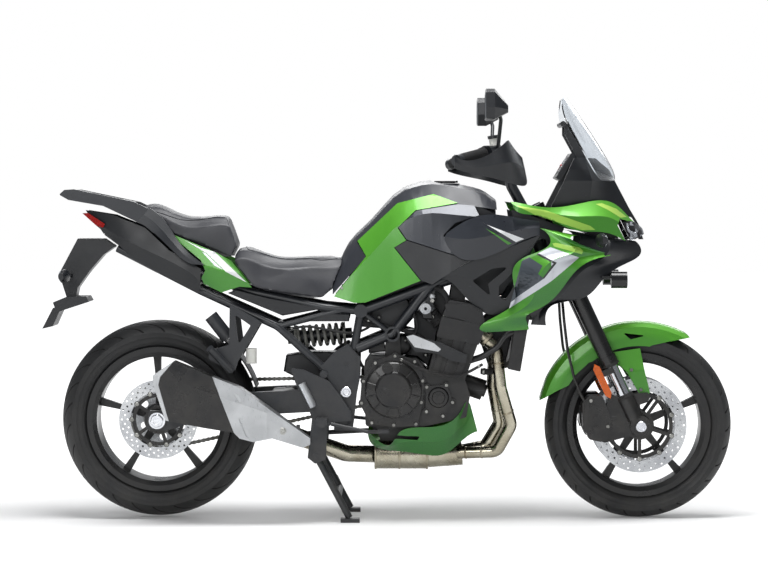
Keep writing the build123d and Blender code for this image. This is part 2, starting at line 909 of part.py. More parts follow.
def front_fender():
    """The front mudguard with its stays, both sides in one moulding."""
    half = [(0, 330), (36, 327), (62, 312), (70, 286), (71, 252)]
    inner = [(y - 4 if y else 0, r - 4 if y < 60 else r) for y, r in half]
    profile = half + list(reversed(inner))
    x, z = FRONT_AXLE
    section = make_face(Polyline(*[(x, y, z + r) for y, r in profile], close=True))
    arch = revolve(section, axis=Axis((x, 0, z), (0, 1, 0)), revolution_arc=360)
    arch = twin(arch)
    side = [
        (488, 376),
        (520, 480),
        (600, 570),
        (690, 640),
        (800, 660),
        (930, 625),
        (968, 577),
        (904, 566),
        (844, 553),
        (798, 527),
        (740, 520),
        (687, 512),
        (643, 498),
        (600, 458),
        (578, 425),
        (540, 407),
    ]
    arch &= slab(side, -120, 120)
    arch -= twin(slab([(752, 592), (826, 584), (776, 572)], 60, 90, corner=2))
    stay = panel(
        [
            ((698, 528), (806, 544), [(0, 71), (0.5, 71), (1, 71)]),
            ((762, 470), (818, 478), [(0, 87), (0.5, 87), (1, 87)]),
            ((815, 378), (836, 404), [(0, 88), (0.5, 88), (1, 88)]),
        ],
        thickness=4,
        ruled=True,
    )
    return arch + twin(stay)


def fork_bracket():
    """The plate of the fork casting that carries the caliper, left side."""
    return slab(
        [(704, 404), (752, 380), (790, 330), (772, 268), (690, 246), (664, 258), (690, 330)],
        FORK_Y - 6,
        FORK_Y + 8,
        corner=5,
    )


def fork_legs():
    """Both fork legs: outer tubes, sliders, and the castings that hold the axle and calipers."""
    top, collar_top, collar_low, casting_top = 1000.0, 520.0, 492.0, 392.0
    leg = rod(fork_point(collar_top, FORK_Y), fork_point(top, FORK_Y), FORK_OUTER_R)
    leg += rod(fork_point(collar_low, FORK_Y), fork_point(collar_top, FORK_Y), FORK_OUTER_R + 3)
    leg += rod(fork_point(casting_top, FORK_Y), fork_point(collar_low, FORK_Y), FORK_INNER_R)
    leg += rod(fork_point(322, FORK_Y), fork_point(casting_top, FORK_Y), 27)
    leg += disc(FRONT_AXLE, FORK_Y - 22, FORK_Y + 22, 33)
    leg += slab([(764, 352), (826, 374), (837, 392), (827, 405), (764, 400)], 88, 102, corner=5)
    return twin(leg + fork_bracket())


def triple_clamps():
    """The two fork bridges and the steering stem that joins them."""
    def bridge(z, thick):
        centre = Vector(fork_x(z), 0, z)
        plane = Plane(origin=centre, z_dir=FORK_UP, x_dir=(cos(radians(RAKE)), 0, sin(radians(RAKE))))
        outline = (
            Pos(0, FORK_Y) * Circle(FORK_OUTER_R + 11)
            + Pos(0, -FORK_Y) * Circle(FORK_OUTER_R + 11)
            + Pos(-14, 0) * Rectangle(52, 2 * FORK_Y)
            + Pos(-FORK_OFFSET, 0) * Circle(30)
        )
        outline -= Pos(0, FORK_Y) * Circle(FORK_OUTER_R + 0.02)
        outline -= Pos(0, -FORK_Y) * Circle(FORK_OUTER_R + 0.02)
        return extrude(plane * outline, amount=thick / 2, both=True)

    lower, upper = bridge(785, 34), bridge(962, 26)
    stem = rod(fork_point(785, 0, -FORK_OFFSET), fork_point(962, 0, -FORK_OFFSET), STEM_R)
    return lower + upper + stem


def handlebar():
    """The bar on its risers, with grips and bar ends."""
    foot = fork_point(968, 0, -FORK_OFFSET - 4)
    riser = tube(
        [(foot.X, 52, foot.Z + 6), (398, 52, 1062), (396, 52, 1122)], 15, 30
    )
    half = [
        (396, 0, 1118),
        (396, 80, 1118),
        (352, 205, 1166),
        (300, 300, 1160),
        (214, 432, 1136),
    ]
    bar = tube(half, 11, 24)
    grip = rod((297, 304, 1159), (222, 420, 1138), 17)
    end = rod((222, 420, 1138), (212, 436, 1135), 19)
    clamp = rod((396, 36, 1118), (396, 68, 1118), 20)
    return twin(riser + bar + grip + end + clamp)


def hand_guard():
    """The hand guard from the bar's end round to the front, left side."""
    return panel(
        [
            ((206, 1112), (206, 1156), [(0, 446), (0.5, 450), (1, 446)]),
            ((290, 1090), (286, 1144), [(0, 444), (0.5, 450), (1, 442)]),
            ((350, 1076), (346, 1178), [(0, 424), (0.5, 436), (1, 410)]),
            ((400, 1062), (372, 1200), [(0, 376), (0.5, 396), (1, 356)]),
            ((434, 1084), (420, 1148), [(0, 290), (0.5, 296), (1, 286)]),
        ],
        thickness=9,
    )


def mirror_head():
    """A rear-view mirror on its stem, left side."""
    back = [(318, 1262), (436, 1266), (446, 1300), (434, 1346), (390, 1358), (322, 1340), (308, 1300)]

    def ring(x, scale, cy=378.0, cz=1308.0):
        return Wire.make_polygon(
            [Vector(x, cy + scale * (y - cy), cz + scale * (z - cz)) for y, z in back],
            close=True,
        )

    shell = Solid.make_loft([ring(304, 1.0), ring(330, 1.0)], ruled=True)
    nose = Solid.make_loft([ring(330, 1.0), ring(372, 0.25, cz=1292.0)], ruled=True)
    stem = tube([(345, 366, 1290), (352, 330, 1262), (346, 262, 1182)], 6, 20)
    return shell + nose + stem


def controls():
    """Switch housings, levers and the front brake's reservoir."""
    housing = rod((340, 236, 1165), (306, 292, 1161), 24)
    lever = tube([(352, 250, 1162), (372, 300, 1156), (322, 418, 1134)], 5, 20)
    perch = slab([(330, 1150), (372, 1150), (372, 1176), (330, 1176)], 222, 250, corner=4)
    right_side = right(housing + lever + perch)
    right_side += rod((340, -236, 1168), (334, -236, 1208), 16)
    right_side += rod((334, -236, 1208), (332.5, -236, 1218), 19)
    return (housing + lever + perch) + right_side


def frame_main():
    """The welded tube frame: head tube, side rails, bosses, pivot plates and seat rails."""
    head = rod(fork_point(812, 0, -FORK_OFFSET), fork_point(940, 0, -FORK_OFFSET), 29)
    head_mid = fork_point(876, 0, -FORK_OFFSET)
    n1, n2 = (-83, 665), (17, 592)
    join = (135, 744)

    def at(p, y):
        return (p[0], y, p[1])

    side = tube(
        [at(n1, FRAME_Y), at(join, FRAME_Y + 4), (330, 96, 850), (head_mid.X - 6, 12, 902)], MAIN_TUBE_R, 60
    )
    side += tube(
        [at(n2, FRAME_Y), at(join, FRAME_Y + 2), (320, 92, 800), (steer_x(830) - 6, 12, 834)],
        MAIN_TUBE_R,
        60,
    )
    side += rod(at(n1, FRAME_Y), at(n2, FRAME_Y), 9)
    side += rod(at(n1, FRAME_Y), (-104, FRAME_Y, 545), SIDE_TUBE_R)
    side += rod(at(n2, FRAME_Y), (-96, FRAME_Y, 545), MAIN_TUBE_R)
    side += rod((n1[0], FRAME_Y - 26, n1[1]), (n1[0], FRAME_Y + 20, n1[1]), 21)
    side += rod((n2[0], FRAME_Y - 20, n2[1]), (n2[0], FRAME_Y + 22, n2[1]), 24, 17)
    side += tube(
        [(-195, FRAME_Y, 479), (-345, FRAME_Y - 6, 616), (-592, 92, 728), (-860, 40, 862)], SIDE_TUBE_R, 80
    )
    side += tube(
        [at(n1, FRAME_Y), (-198, FRAME_Y - 4, 676), (-420, 108, 722), (-620, 84, 786), (-850, 40, 884)],
        SIDE_TUBE_R,
        80,
    )
    side += rod((-135, FRAME_Y, 670), (-345, FRAME_Y - 6, 616), 10)
    plate = slab(
        [
            (-124, 562),
            (-165, 536),
            (-210, 490),
            (-178, 440),
            (-160, 400),
            (-168, 288),
            (-108, 288),
            (-96, 400),
            (-86, 450),
            (-84, 518),
        ],
        FRAME_Y - 12,
        FRAME_Y + 18,
        corner=6,
    )
    side += plate
    cover_line = [(-122, 556), (-154, 532), (-150, 470), (-132, 440), (-104, 448), (-96, 520)]
    cover = slab(cover_line, FRAME_Y + 16, FRAME_Y + 21)
    side += cover - disc((-128, 500), FRAME_Y + 10, FRAME_Y + 30, 9)
    side += slab([(116, 742), (154, 742), (146, 692), (152, 640), (132, 630), (108, 672)], 120, 127, corner=5)
    for x, z in ((143, 698), (124, 676), (142, 646)):
        side += disc((x, z), 118, 136, 7)
    cross = rod((-140, -FRAME_Y, 305), (-140, FRAME_Y, 305), 13)
    cross += rod((-110, -FRAME_Y, 545), (-110, FRAME_Y, 545), 13)
    cross += rod((-345, 6 - FRAME_Y, 616), (-345, FRAME_Y - 6, 616), 10)
    cross += rod((-720, -64, 790), (-720, 64, 790), 9)
    stem_bore = rod(fork_point(780, 0, -FORK_OFFSET), fork_point(970, 0, -FORK_OFFSET), STEM_R + AXLE_FIT)
    pivot_bore = disc(SWING_PIVOT, -200, 200, PIVOT_R)
    return twin(side) + head + cross - stem_bore - pivot_bore


def crankcase():
    """The crankcase and gearbox with the oil pan, the rear mounts and the room for the sprocket."""
    case = slab(
        [
            (-72, 492),
            (-50, 524),
            (96, 516),
            (128, 474),
            (246, 450),
            (262, 400),
            (250, 330),
            (120, 302),
            (60, 298),
            (-68, 302),
        ],
        -CRANKCASE_Y,
        CRANKCASE_Y,
        corner=10,
    )
    pan = slab([(-40, 302), (150, 308), (140, 262), (110, 252), (-20, 252)], -100, 100)
    mount = slab([(-6, 520), (44, 520), (40, 604), (8, 610), (-4, 590)], FRAME_Y - 44, FRAME_Y - 20, corner=6)
    sprocket_room = slab([(-90, 460), (-30, 470), (26, 430), (26, 370), (-30, 340), (-90, 330)], 84, 200)
    return case + pan + twin(mount) + oil_filter() - sprocket_room


def cylinders():
    """The cylinder block, head and head cover, leaning forward."""
    block = slab([(129, 474), (246, 450), (285, 560), (160, 585)], -170, 170)
    head = slab([(156, 585), (289, 560), (312, 620), (172, 650)], -182, 182, corner=4)
    cover = slab([(174, 651), (311, 621), (300, 668), (262, 690), (196, 702)], -176, 176, corner=8)
    mount = slab([(190, 640), (240, 640), (262, 800), (236, 812), (214, 790)], 70, 84)
    pad_line = [(180, 690), (196, 652), (238, 640), (286, 606), (300, 612), (296, 664), (262, 688)]
    pad = slab(pad_line, 176, 180, corner=5)
    out = block + head + cover + twin(mount + pad)
    for share in (0.1, 0.4, 0.7):
        low = (129 + 117 * share, 474 - 24 * share)
        high = (160 + 125 * share, 585 - 25 * share)
        rib = slab([low, (low[0] + 20, low[1] - 4), (high[0] + 20, high[1] - 4), high], 168, 178, corner=4)
        out += twin(rib)
    return out


def oil_filter():
    """The oil filter on the front of the crankcase."""
    can = rod((240, -38, 432), (308, -38, 408), 33)
    return can + rod((308, -38, 408), (316, -38, 405), 20)


def bolted_plate(centre, bolts, y0, thick, corner):
    """A flat cover drawn tightly round its screws, which are given from its centre, with their bosses."""
    x, z = centre
    spots = [(x + dx, z + dz) for dx, dz in bolts]
    plate = slab([(x + 1.06 * dx, z + 1.06 * dz) for dx, dz in bolts], y0, y0 + thick, corner=corner)
    for spot in spots:
        plate += disc(spot, y0, y0 + thick + 3, BOSS_R)
        plate += disc(spot, y0, y0 + thick + 8, 5.5)
    return plate


def clutch_cover():
    """The round clutch cover on the right side: a screwed plate, a ribbed dome and the oil filler."""
    y0 = CRANKCASE_Y + 0.5
    base = bolted_plate(CLUTCH, CLUTCH_BOLTS, y0, 14, 16) + disc(CLUTCH, y0, y0 + 14, 93)
    dome = revolved_y(
        CLUTCH,
        [
            (y0 + 14, 0),
            (y0 + 14, 90),
            (y0 + 32, 87),
            (y0 + 36, 83),
            (y0 + 42, 58),
            (y0 + 47, 54),
            (y0 + 49, 50),
            (y0 + 49, 0),
        ],
    )
    x, z = CLUTCH
    rib = rod((x, y0 + 43, z + 50), (x, y0 + 35, z + 84), 3)
    for one in around(rib, CLUTCH, 12, 15):
        dome += one
    filler = disc((x - 19, z + 69), y0 + 14, y0 + 46, 17)
    filler += slab([(x - 33, z + 66), (x - 5, z + 66), (x - 5, z + 72), (x - 33, z + 72)], y0 + 46, y0 + 53)
    sight = disc((x + 43, z - 92), y0 + 10, y0 + 18, 16)
    return right(base + dome + filler + sight)


def pulser_cover():
    """The smaller cover in front of the clutch on the right side."""
    y0 = CRANKCASE_Y + 0.5
    base = bolted_plate(PULSER, PULSER_BOLTS, y0, 12, 12)
    steps = [(12, 0), (12, 33), (22, 29), (22, 21), (25, 19), (25, 0)]
    face = revolved_y(PULSER, [(y0 + rise, radius) for rise, radius in steps])
    return right(base + face)


def generator_cover():
    """The round generator cover on the left side."""
    y0 = CRANKCASE_Y + 0.5
    centre = (150, 398)
    return revolved_y(
        centre,
        [(y0, 0), (y0, 66), (y0 + 20, 66), (y0 + 32, 54), (y0 + 36, 40), (y0 + 36, 0)],
    )


def sprocket_cover():
    """The cover over the front sprocket on the left side."""
    return slab(
        [(-84, 470), (-40, 480), (40, 470), (60, 400), (30, 330), (-60, 322), (-84, 360)],
        CRANKCASE_Y + 0.5,
        CRANKCASE_Y + 26,
        corner=14,
    )


def engine_covers():
    """The round and small covers on both sides of the crankcase."""
    return clutch_cover() + pulser_cover() + generator_cover() + sprocket_cover()


def silencer_link(radius):
    """The pipe from the catalyser out to the silencer, behind the right footrest bracket."""
    return tube(
        [(-30, 0, 200), (-130, -30, 206), (-235, -88, 246), (-292, -150, 274), (-350, -206, 304)],
        radius,
        60,
    )


def headers():
    """The four header pipes, their collector, the catalyser and the link to the silencer."""
    pipes = None
    for y, low_y in ((-132, -62), (-44, -22), (44, 22), (132, 62)):
        outer = abs(y) > 100
        front = 396 if outer else 362
        low = 214 if outer else 226
        path = [
            (300, y, 590),
            (346, y, 545),
            (360 if outer else 340, y, 420),
            (front, low_y * 1.4, 300),
            (front - 46, low_y, low),
            (225, low_y * 0.6, 208),
        ]
        one = tube(path, 19, 32)
        pipes = one if pipes is None else pipes + one
    cat = rod((240, 0, 208), (130, 0, 200), 42)
    cat += rod((130, 0, 200), (-40, 0, 200), 46)
    return pipes + cat + silencer_link(27)


SILENCER_Y = -214.0
SILENCER_HALF = 54.0


def silencer_form(outline, y_in, y_out):
    """A piece of the silencer, with its long edges cut at a slant."""
    piece = slab(outline, SILENCER_Y - y_out, SILENCER_Y + y_in)
    section = Polyline(
        (-y_out, -62, 0),
        (-y_out, 44, 0),
        (-y_out + 26, 120, 0),
        (y_in - 20, 120, 0),
        (y_in, 60, 0),
        (y_in, -70, 0),
        (y_in - 26, -110, 0),
        (-y_out + 20, -110, 0),
        close=True,
    )
    plane = Plane(origin=(-760, SILENCER_Y, 439), x_dir=(0, 1, 0), z_dir=(430, 0, -148))
    bar = extrude(plane * make_face(section), amount=620)
    return piece & bar


def silencer():
    """The silencer can, with slanted edges, on the right side."""
    body = silencer_form(
        [(-665, 512), (-546, 464), (-478, 291), (-573, 306), (-680, 326), (-712, 440), (-706, 464)],
        SILENCER_HALF,
        SILENCER_HALF,
    )
    return body


def silencer_shield():
    """The bright front shield and the end cap of the silencer."""
    front = silencer_form(
        [
            (-545, 464),
            (-459, 430),
            (-240, 272),
            (-240, 252),
            (-264, 243),
            (-358, 273),
            (-417, 262),
            (-459, 273),
            (-477, 291),
        ],
        SILENCER_HALF - 2,
        SILENCER_HALF + 2,
    )
    plan = make_face(
        Polyline(
            (-560, SILENCER_Y - 60, 200),
            (-400, SILENCER_Y - 60, 200),
            (-236, SILENCER_Y - 34, 200),
            (-236, SILENCER_Y + 22, 200),
            (-380, SILENCER_Y + 60, 200),
            (-560, SILENCER_Y + 60, 200),
            close=True,
        )
    )
    front &= extrude(plan, amount=400, dir=(0, 0, 1))
    front -= silencer_link(27.5)
    outside = SILENCER_Y - SILENCER_HALF + 6
    front -= slab([(-500, 447), (-486, 441), (-452, 389), (-460, 384)], outside - 20, outside, corner=3)
    front -= slab([(-463, 337), (-449, 335), (-425, 277), (-438, 277)], outside - 20, outside, corner=3)
    cap = silencer_form(
        [(-666, 512.5), (-730, 469), (-730, 443), (-691, 328), (-681, 326), (-713, 440), (-707, 465)],
        SILENCER_HALF - 6,
        SILENCER_HALF - 6,
    )
    cap -= rod((-740, SILENCER_Y + 4, 425), (-690, SILENCER_Y + 4, 412), 26)
    return front + cap


def radiator():
    """The radiator with its side tanks and fan ring."""
    core = slab([(386, 486), (416, 479), (458, 722), (428, 728)], -144, 144)
    tanks = slab([(380, 484), (420, 475), (462, 724), (424, 732)], 144, 170, corner=4)
    return core + twin(tanks)


def water_hose():
    """The coolant hose from the cylinder block up to the radiator's right tank."""
    route = [(250, -140, 505), (300, -162, 522), (348, -167, 552), (372, -162, 590), (418, -157, 606)]
    return tube(route, 10, 60)


def belly_cowl():
    """The coloured belly cowl's side, left side."""
    mass = panel(
        [
            ((-58, 262), (-62, 288), [(0, 128), (0.5, 150), (1, 166)]),
            ((42, 219), (33, 277), [(0, 112), (0.5, 150), (1, 170)]),
            ((130, 206), (106, 300), [(0, 100), (0.5, 146), (1, 172)]),
            ((184, 210), (190, 312), [(0, 96), (0.5, 142), (1, 172)]),
            ((246, 258), (246, 375), [(0, 96), (0.5, 130), (1, 160)]),
            ((288, 280), (264, 368), [(0, 84), (0.5, 104), (1, 140)]),
        ],
        thickness=6,
    )
    window = slab([(-30, 268), (96, 258), (104, 270), (60, 272), (-26, 280)], 60, 240, corner=2)
    return mass - window


def swingarm():
    """The swingarm: arms that step out behind the frame, a pivot tube and a cross member."""
    front_line = [(-104, 424), (-300, 414), (-330, 412), (-330, 346), (-240, 346), (-110, 378)]
    front = slab(front_line, 84, 113, corner=5)
    arm = slab(
        [
            (-236, 418),
            (-300, 414),
            (-430, 408),
            (-560, 388),
            (-650, 352),
            (-752, 350),
            (-762, 292),
            (-700, 286),
            (-640, 304),
            (-430, 336),
            (-240, 346),
        ],
        112,
        142,
        corner=5,
    )
    arm += front
    arm -= slab([(-560, 372), (-440, 386), (-440, 350), (-560, 332)], 132, 150, corner=4)
    arm -= disc(REAR_AXLE, 60, 160, REAR_AXLE_R)
    pivot = disc(SWING_PIVOT, -84, 84, 24) + disc(SWING_PIVOT, -112, 112, 15)
    cross = slab([(-296, 412), (-372, 406), (-368, 350), (-296, 350)], -113, 113, corner=10)
    spindle = disc(SWING_PIVOT, -154, 154, PIVOT_R)
    return twin(arm) + pivot + cross + spindle


def rear_axle():
    """The rear axle with its adjuster blocks."""
    pin = disc(REAR_AXLE, -152, 152, REAR_AXLE_R)
    block = slab([(-748, 338), (-704, 344), (-700, 300), (-744, 294)], 142, 150, corner=2)
    return pin + twin(block)


def chain_line(grow):
    """The chain's path round both sprockets, moved outwards by grow."""
    big, small = CHAIN_BIG_R + grow, CHAIN_SMALL_R + grow
    (x1, z1), (x2, z2) = REAR_AXLE, CHAIN_FRONT
    base = atan2(z2 - z1, x2 - x1)
    wrap = acos((big - small) / hypot(x2 - x1, z2 - z1))
    steps = 14
    points = []
    for i in range(steps + 1):
        a = base + wrap + (2 * pi - 2 * wrap) * i / steps
        points.append((x1 + big * cos(a), CHAIN_Y - 8, z1 + big * sin(a)))
    for i in range(steps + 1):
        a = base - wrap + 2 * wrap * i / steps
        points.append((x2 + small * cos(a), CHAIN_Y - 8, z2 + small * sin(a)))
    return make_face(Polyline(*points, close=True))


def chain():
    """The drive chain as one fixed loop round both sprockets."""
    outer = extrude(chain_line(8), amount=16, dir=(0, 1, 0))
    inner = extrude(chain_line(-8), amount=16, dir=(0, 1, 0))
    return outer - inner


def rear_sprocket():
    """The rear sprocket plate."""
    ring = disc(REAR_AXLE, CHAIN_Y - 3, CHAIN_Y + 3, 95, 46)
    hole = disc((REAR_AXLE[0], REAR_AXLE[1] + 70), CHAIN_Y - 9, CHAIN_Y + 9, 12)
    for one in around(hole, REAR_AXLE, 6):
        ring -= one
    return ring


def rear_shock():
    """The shock absorber, lying nearly flat, with its coil spring between two seats."""
    start, end = Vector(-318, 0, 575), Vector(-112, 0, 590)
    along = (end - start).normalized()
    body = rod(start, start + along * 60, 22) + rod(start, end, 17)
    seats = rod(start + along * 22, start + along * 30, 37)
    seats += rod(start + along * 178, start + along * 186, 37)
    coil = sweep(
        Plane(origin=(31, 0, 0), z_dir=(0, 1, 0)) * Circle(5.5),
        path=Helix(pitch=21, height=147, radius=31),
        is_frenet=True,
    )
    lie = Plane(origin=start + along * 30.5, z_dir=along)
    return body + seats + lie.location * coil


def preload_cylinder():
    """The remote preload cylinder on the right side."""
    return right(rod((-558, 126, 650), (-502, 126, 578), 22))


def hugger():
    """The rear hugger over the tyre's front and the chain guard."""
    x, z = REAR_AXLE
    section = make_face(
        Polyline((x, -88, z + 324), (x, 88, z + 324), (x, 88, z + 328), (x, -88, z + 328), close=True)
    )
    arch = revolve(section, axis=Axis((x, 0, z), (0, 1, 0)))
    side = [(-520, 580), (-380, 480), (-380, 420), (-420, 420), (-560, 540)]
    return arch & slab(side, -200, 200)


def peg_bracket():
    """The rider's footrest bracket with its heel plate, left side."""
    plate = slab(
        [
            (-304, 487),
            (-262, 482),
            (-182, 446),
            (-150, 404),
            (-112, 348),
            (-112, 322),
            (-166, 316),
            (-188, 300),
            (-192, 200),
            (-226, 186),
            (-250, 205),
            (-236, 330),
            (-244, 350),
            (-288, 440),
        ],
        170,
        180,
        corner=6,
    )
    plate -= disc(STAND_PIVOT, 150, 200, 10.05)
    spacer = rod((-140, 148.5, 316), (-140, 170, 316), 14) + rod((-200, 148.5, 466), (-200, 170, 466), 12)
    peg = rod((-204, 180, 320), (-204, 286, 320), 13)
    rubber = Pos(-204, 240, 324) * Box(34, 92, 18)
    return plate + spacer + peg + rubber


def rear_controls():
    """The brake pedal, its master cylinder and the reservoir, on the right side."""
    pedal = tube([(-176, 190, 312), (-60, 196, 288), (-20, 226, 290)], 6, 20)
    pedal += Pos(-12, 226, 292) * Box(34, 40, 10)
    master = rod((-268, 192, 440), (-232, 192, 366), 12)
    cup = rod((-428, 150, 500), (-428, 150, 548), 17)
    return right(pedal), right(master), right(cup)


def gear_pedal():
    """The gear pedal on the left side."""
    pedal = tube([(-176, 190, 312), (-70, 200, 300), (-30, 226, 302)], 6, 20)
    return pedal + rod((-30, 216, 302), (-30, 262, 302), 7)


def passenger_bracket():
    """The passenger footrest bracket, a cast triangle, left side."""
    outline = [
        (-496, 690),
        (-397, 632),
        (-470, 506),
        (-478, 478),
        (-500, 482),
        (-560, 512),
        (-560, 540),
        (-498, 560),
    ]
    plate = slab(outline, 152, 162, corner=5)
    plate -= slab([(-480, 655), (-430, 620), (-468, 560)], 140, 180, corner=4)
    plate += disc((-548, 524), 148, 168, 14)
    peg = rod((-492, 162, 480), (-492, 180, 480), 9)
    peg += rod((-492, 180, 480), (-556, 226, 552), 12)
    return plate + peg


def centre_stand():
    """The centre stand: two legs with feet, a cross tube and the foot lever."""
    px, pz = STAND_PIVOT
    foot_z = 8.0
    lean = radians(STAND_SWING)
    foot_x = px + (pz - foot_z) * tan(lean)
    along = Vector(foot_x - px, 0, foot_z - pz).normalized()

    def down(distance, y):
        return (px + along.X * distance, y, pz + along.Z * distance)

    length = (pz - foot_z) / cos(lean)
    leg = rod((px, STAND_LEG_Y, pz), down(length - 6, STAND_LEG_Y), 11)
    eye = disc(STAND_PIVOT, STAND_LEG_Y - 12, STAND_LEG_Y + 12, 18)
    pin = disc(STAND_PIVOT, STAND_LEG_Y + 12, STAND_LEG_Y + 32, 10)
    foot = Pos(foot_x, STAND_LEG_Y + 6, 6) * Box(60, 44, 12)
    cross = rod(down(150, -STAND_LEG_Y), down(150, STAND_LEG_Y), 10)
    lever = tube([down(140, STAND_LEG_Y), down(160, STAND_LEG_Y + 50), down(120, STAND_LEG_Y + 96)], 7, 20)
    return twin(leg + eye + pin + foot) + cross + lever


SIDE_PIVOT = Vector(-40.0, 196.0, 262.0)
SIDE_FOLDED = Vector(-1.0, 0.0, -0.05).normalized()
SIDE_DOWN = Vector(0.15, 0.42, -0.9).normalized()
SIDE_AXIS = SIDE_FOLDED.cross(SIDE_DOWN).normalized()


def side_stand():
    """The side stand, folded back along the left side."""
    end = SIDE_PIVOT + SIDE_FOLDED * 250
    leg = rod(tuple(SIDE_PIVOT), tuple(end), 7.8)
    eye = rod(tuple(SIDE_PIVOT - SIDE_AXIS * 9), tuple(SIDE_PIVOT + SIDE_AXIS * 9), 17)
    plane = Plane(origin=end, x_dir=SIDE_AXIS, z_dir=SIDE_FOLDED)
    foot = extrude(plane * Rectangle(40, 46), amount=6, both=True)
    pin = rod(tuple(SIDE_PIVOT), tuple(SIDE_PIVOT + SIDE_AXIS * 26), 6)
    return leg + eye + foot + pin


def side_stand_bracket():
    """The lug that carries the side stand, with its boss square to the stand's swing."""
    lug = slab([(-60, 322), (-14, 322), (-22, 240), (-58, 240)], CRANKCASE_Y, 172, corner=4)
    lug += rod(tuple(SIDE_PIVOT + SIDE_AXIS * 10), tuple(SIDE_PIVOT + SIDE_AXIS * 34), 15)
    lug -= rod(tuple(SIDE_PIVOT + SIDE_AXIS * 5), tuple(SIDE_PIVOT + SIDE_AXIS * 26.5), 6 + AXLE_FIT)
    return lug


def filler_cap():
    """The fuel filler's hinged cap, on top of the tank."""
    x, z = FILLER
    cap = Pos(x, 0, z + 4.5) * Cylinder(34, 7)
    hinge = rod((x + 38, -12, z + 5.2), (x + 38, 12, z + 5.2), 3.8)
    return cap + hinge + Pos(x + 30, 0, z + 5) * Box(20, 20, 5)


def front_caliper():
    """A four-piston front caliper, left side."""
    body = slab(
        [(618, 372), (640, 396), (682, 396), (708, 330), (706, 262), (676, 250), (640, 258), (622, 300)],
        FORK_Y - 52,
        FORK_Y + 20,
        corner=8,
    )
    body -= disc(FRONT_AXLE, FRONT_DISC_Y - 8, FRONT_DISC_Y + 8, 157)
    outer = FORK_Y + 20
    for spot in ((654, 356), (664, 322), (662, 288)):
        body += disc(spot, outer, outer + 3, 12)
    body += slab([(628, 376), (642, 384), (630, 268), (620, 300)], outer, outer + 5, corner=3)
    return body - twin(fork_bracket())


def brake_hose():
    """The hose from the lower fork bridge down behind the leg to the front caliper, left side."""
    route = [
        (566, 62, 782),
        (556, 84, 715),
        (562, 108, 630),
        (572, 119, 540),
        (592, 121, 455),
        (618, 121, 388),
        (650, 118, 352),
    ]
    return tube(route, 4.5, 120)


def fork_reflector():
    """The amber reflector beside the fork with the tab that carries it, left side."""
    centre = fork_point(462, FORK_Y + 24, -46)
    plane = Plane(origin=centre, x_dir=(cos(radians(RAKE)), 0, sin(radians(RAKE))), z_dir=(0, 1, 0))
    lens_shape = Polyline((-11, -46), (0, -60), (11, -46), (11, 46), (0, 60), (-11, 46), close=True)
    return extrude(plane * make_face(lens_shape), amount=7)


def reflector_tab():
    """The flat tab from the fork's collar to the reflector, left side."""
    high = fork_point(478, FORK_Y + 19, -50)
    low = fork_point(478, FORK_Y + 19, 0)
    flat = slab(
        [(high.X - 8, high.Z + 10), (high.X - 8, high.Z - 12), (low.X, low.Z - 10), (low.X, low.Z + 10)],
        FORK_Y + 17,
        FORK_Y + 24,
        corner=2,
    )
    return flat


def front_axle():
    """The front axle through both fork castings."""
    return disc(FRONT_AXLE, -FORK_Y - 26, FORK_Y + 26, FRONT_AXLE_R)


def place(group, name, shape):
    """One file for each named piece."""
    export_step(shape, os.path.join("parts", name + ".step"))
    group.append(name)


def chassis(group):
    """The frame, engine, exhaust, seats and every cover that stands still with them."""
    frame = frame_main()
    engine = crankcase() + cylinders()
    place(group, "frame", frame)
    place(group, "engine_case", engine)
    place(group, "engine_covers", engine_covers())
    place(group, "exhaust_pipes", headers() - engine)
    place(group, "silencer", silencer())
    place(group, "silencer_shield", silencer_shield())
    place(group, "radiator", radiator() + water_hose() - engine)
    place(group, "belly_cowl", twin(belly_cowl()) - engine - side_stand_bracket())
    skins = tank_skins()
    place(group, "tank_cover", skins["tank_cover"])
    place(group, "tank_panel", skins["tank_panel"])
    place(group, "fuel_tank", fuel_tank() - frame - engine)
    place(group, "gloss_panel", skins["tank_side"] + twin(fairing_side()))
    place(group, "inner_panel", skins["tank_lower_panel"] + twin(vent_panel() - engine + fairing_lining()))
    upper, side = upper_cowl(), side_cowl()
    lamps = lamp_unit() - upper + fog_lamp()
    place(group, "upper_cowl", twin(upper))
    place(group, "side_cowl", twin(side))
    place(group, "lower_cowl", twin(lower_cowl() - side - lamps))
    place(group, "inner_cowl", inner_cowl() - twin(upper) - twin(lamps))
    place(group, "windscreen", windscreen())
    place(group, "cockpit", screen_bracket() + meter())
    place(group, "lamp", twin(lamps))
    front_pair = twin(indicator(660, 890, 200, 290, 18))
    place(group, "indicator", front_pair + twin(indicator(-1010, 775, 43, 200, -14)))
    rack = carrier()
    rider, pillion = seat_pair()
    place(group, "rider_seat", rider - frame)
    place(group, "pillion_seat", pillion - rack)
    green = tail_green()
    place(group, "tail_panel", twin(green) - rack)
    lamp = tail_lamp()
    place(group, "tail_cowl", twin(biggest(tail_cowl() + side_cover() - green)) + under_tray() - lamp - frame)
    place(group, "carrier", rack)
    place(group, "tail_lamp", lamp)
    place(group, "rear_fender", rear_fender() + hugger())
    place(group, "swingarm", swingarm() + rear_axle())
    place(group, "rear_shock", rear_shock() + preload_cylinder())
    place(group, "chain", chain())
    pedal, master, cup = rear_controls()
    pegs = twin(peg_bracket() + passenger_bracket()) + pedal + gear_pedal() + side_stand_bracket()
    place(group, "footrest", pegs)
    place(group, "rear_brake", master + cup + rear_caliper())
    place(group, "slider_bar", twin(slider_bar()))


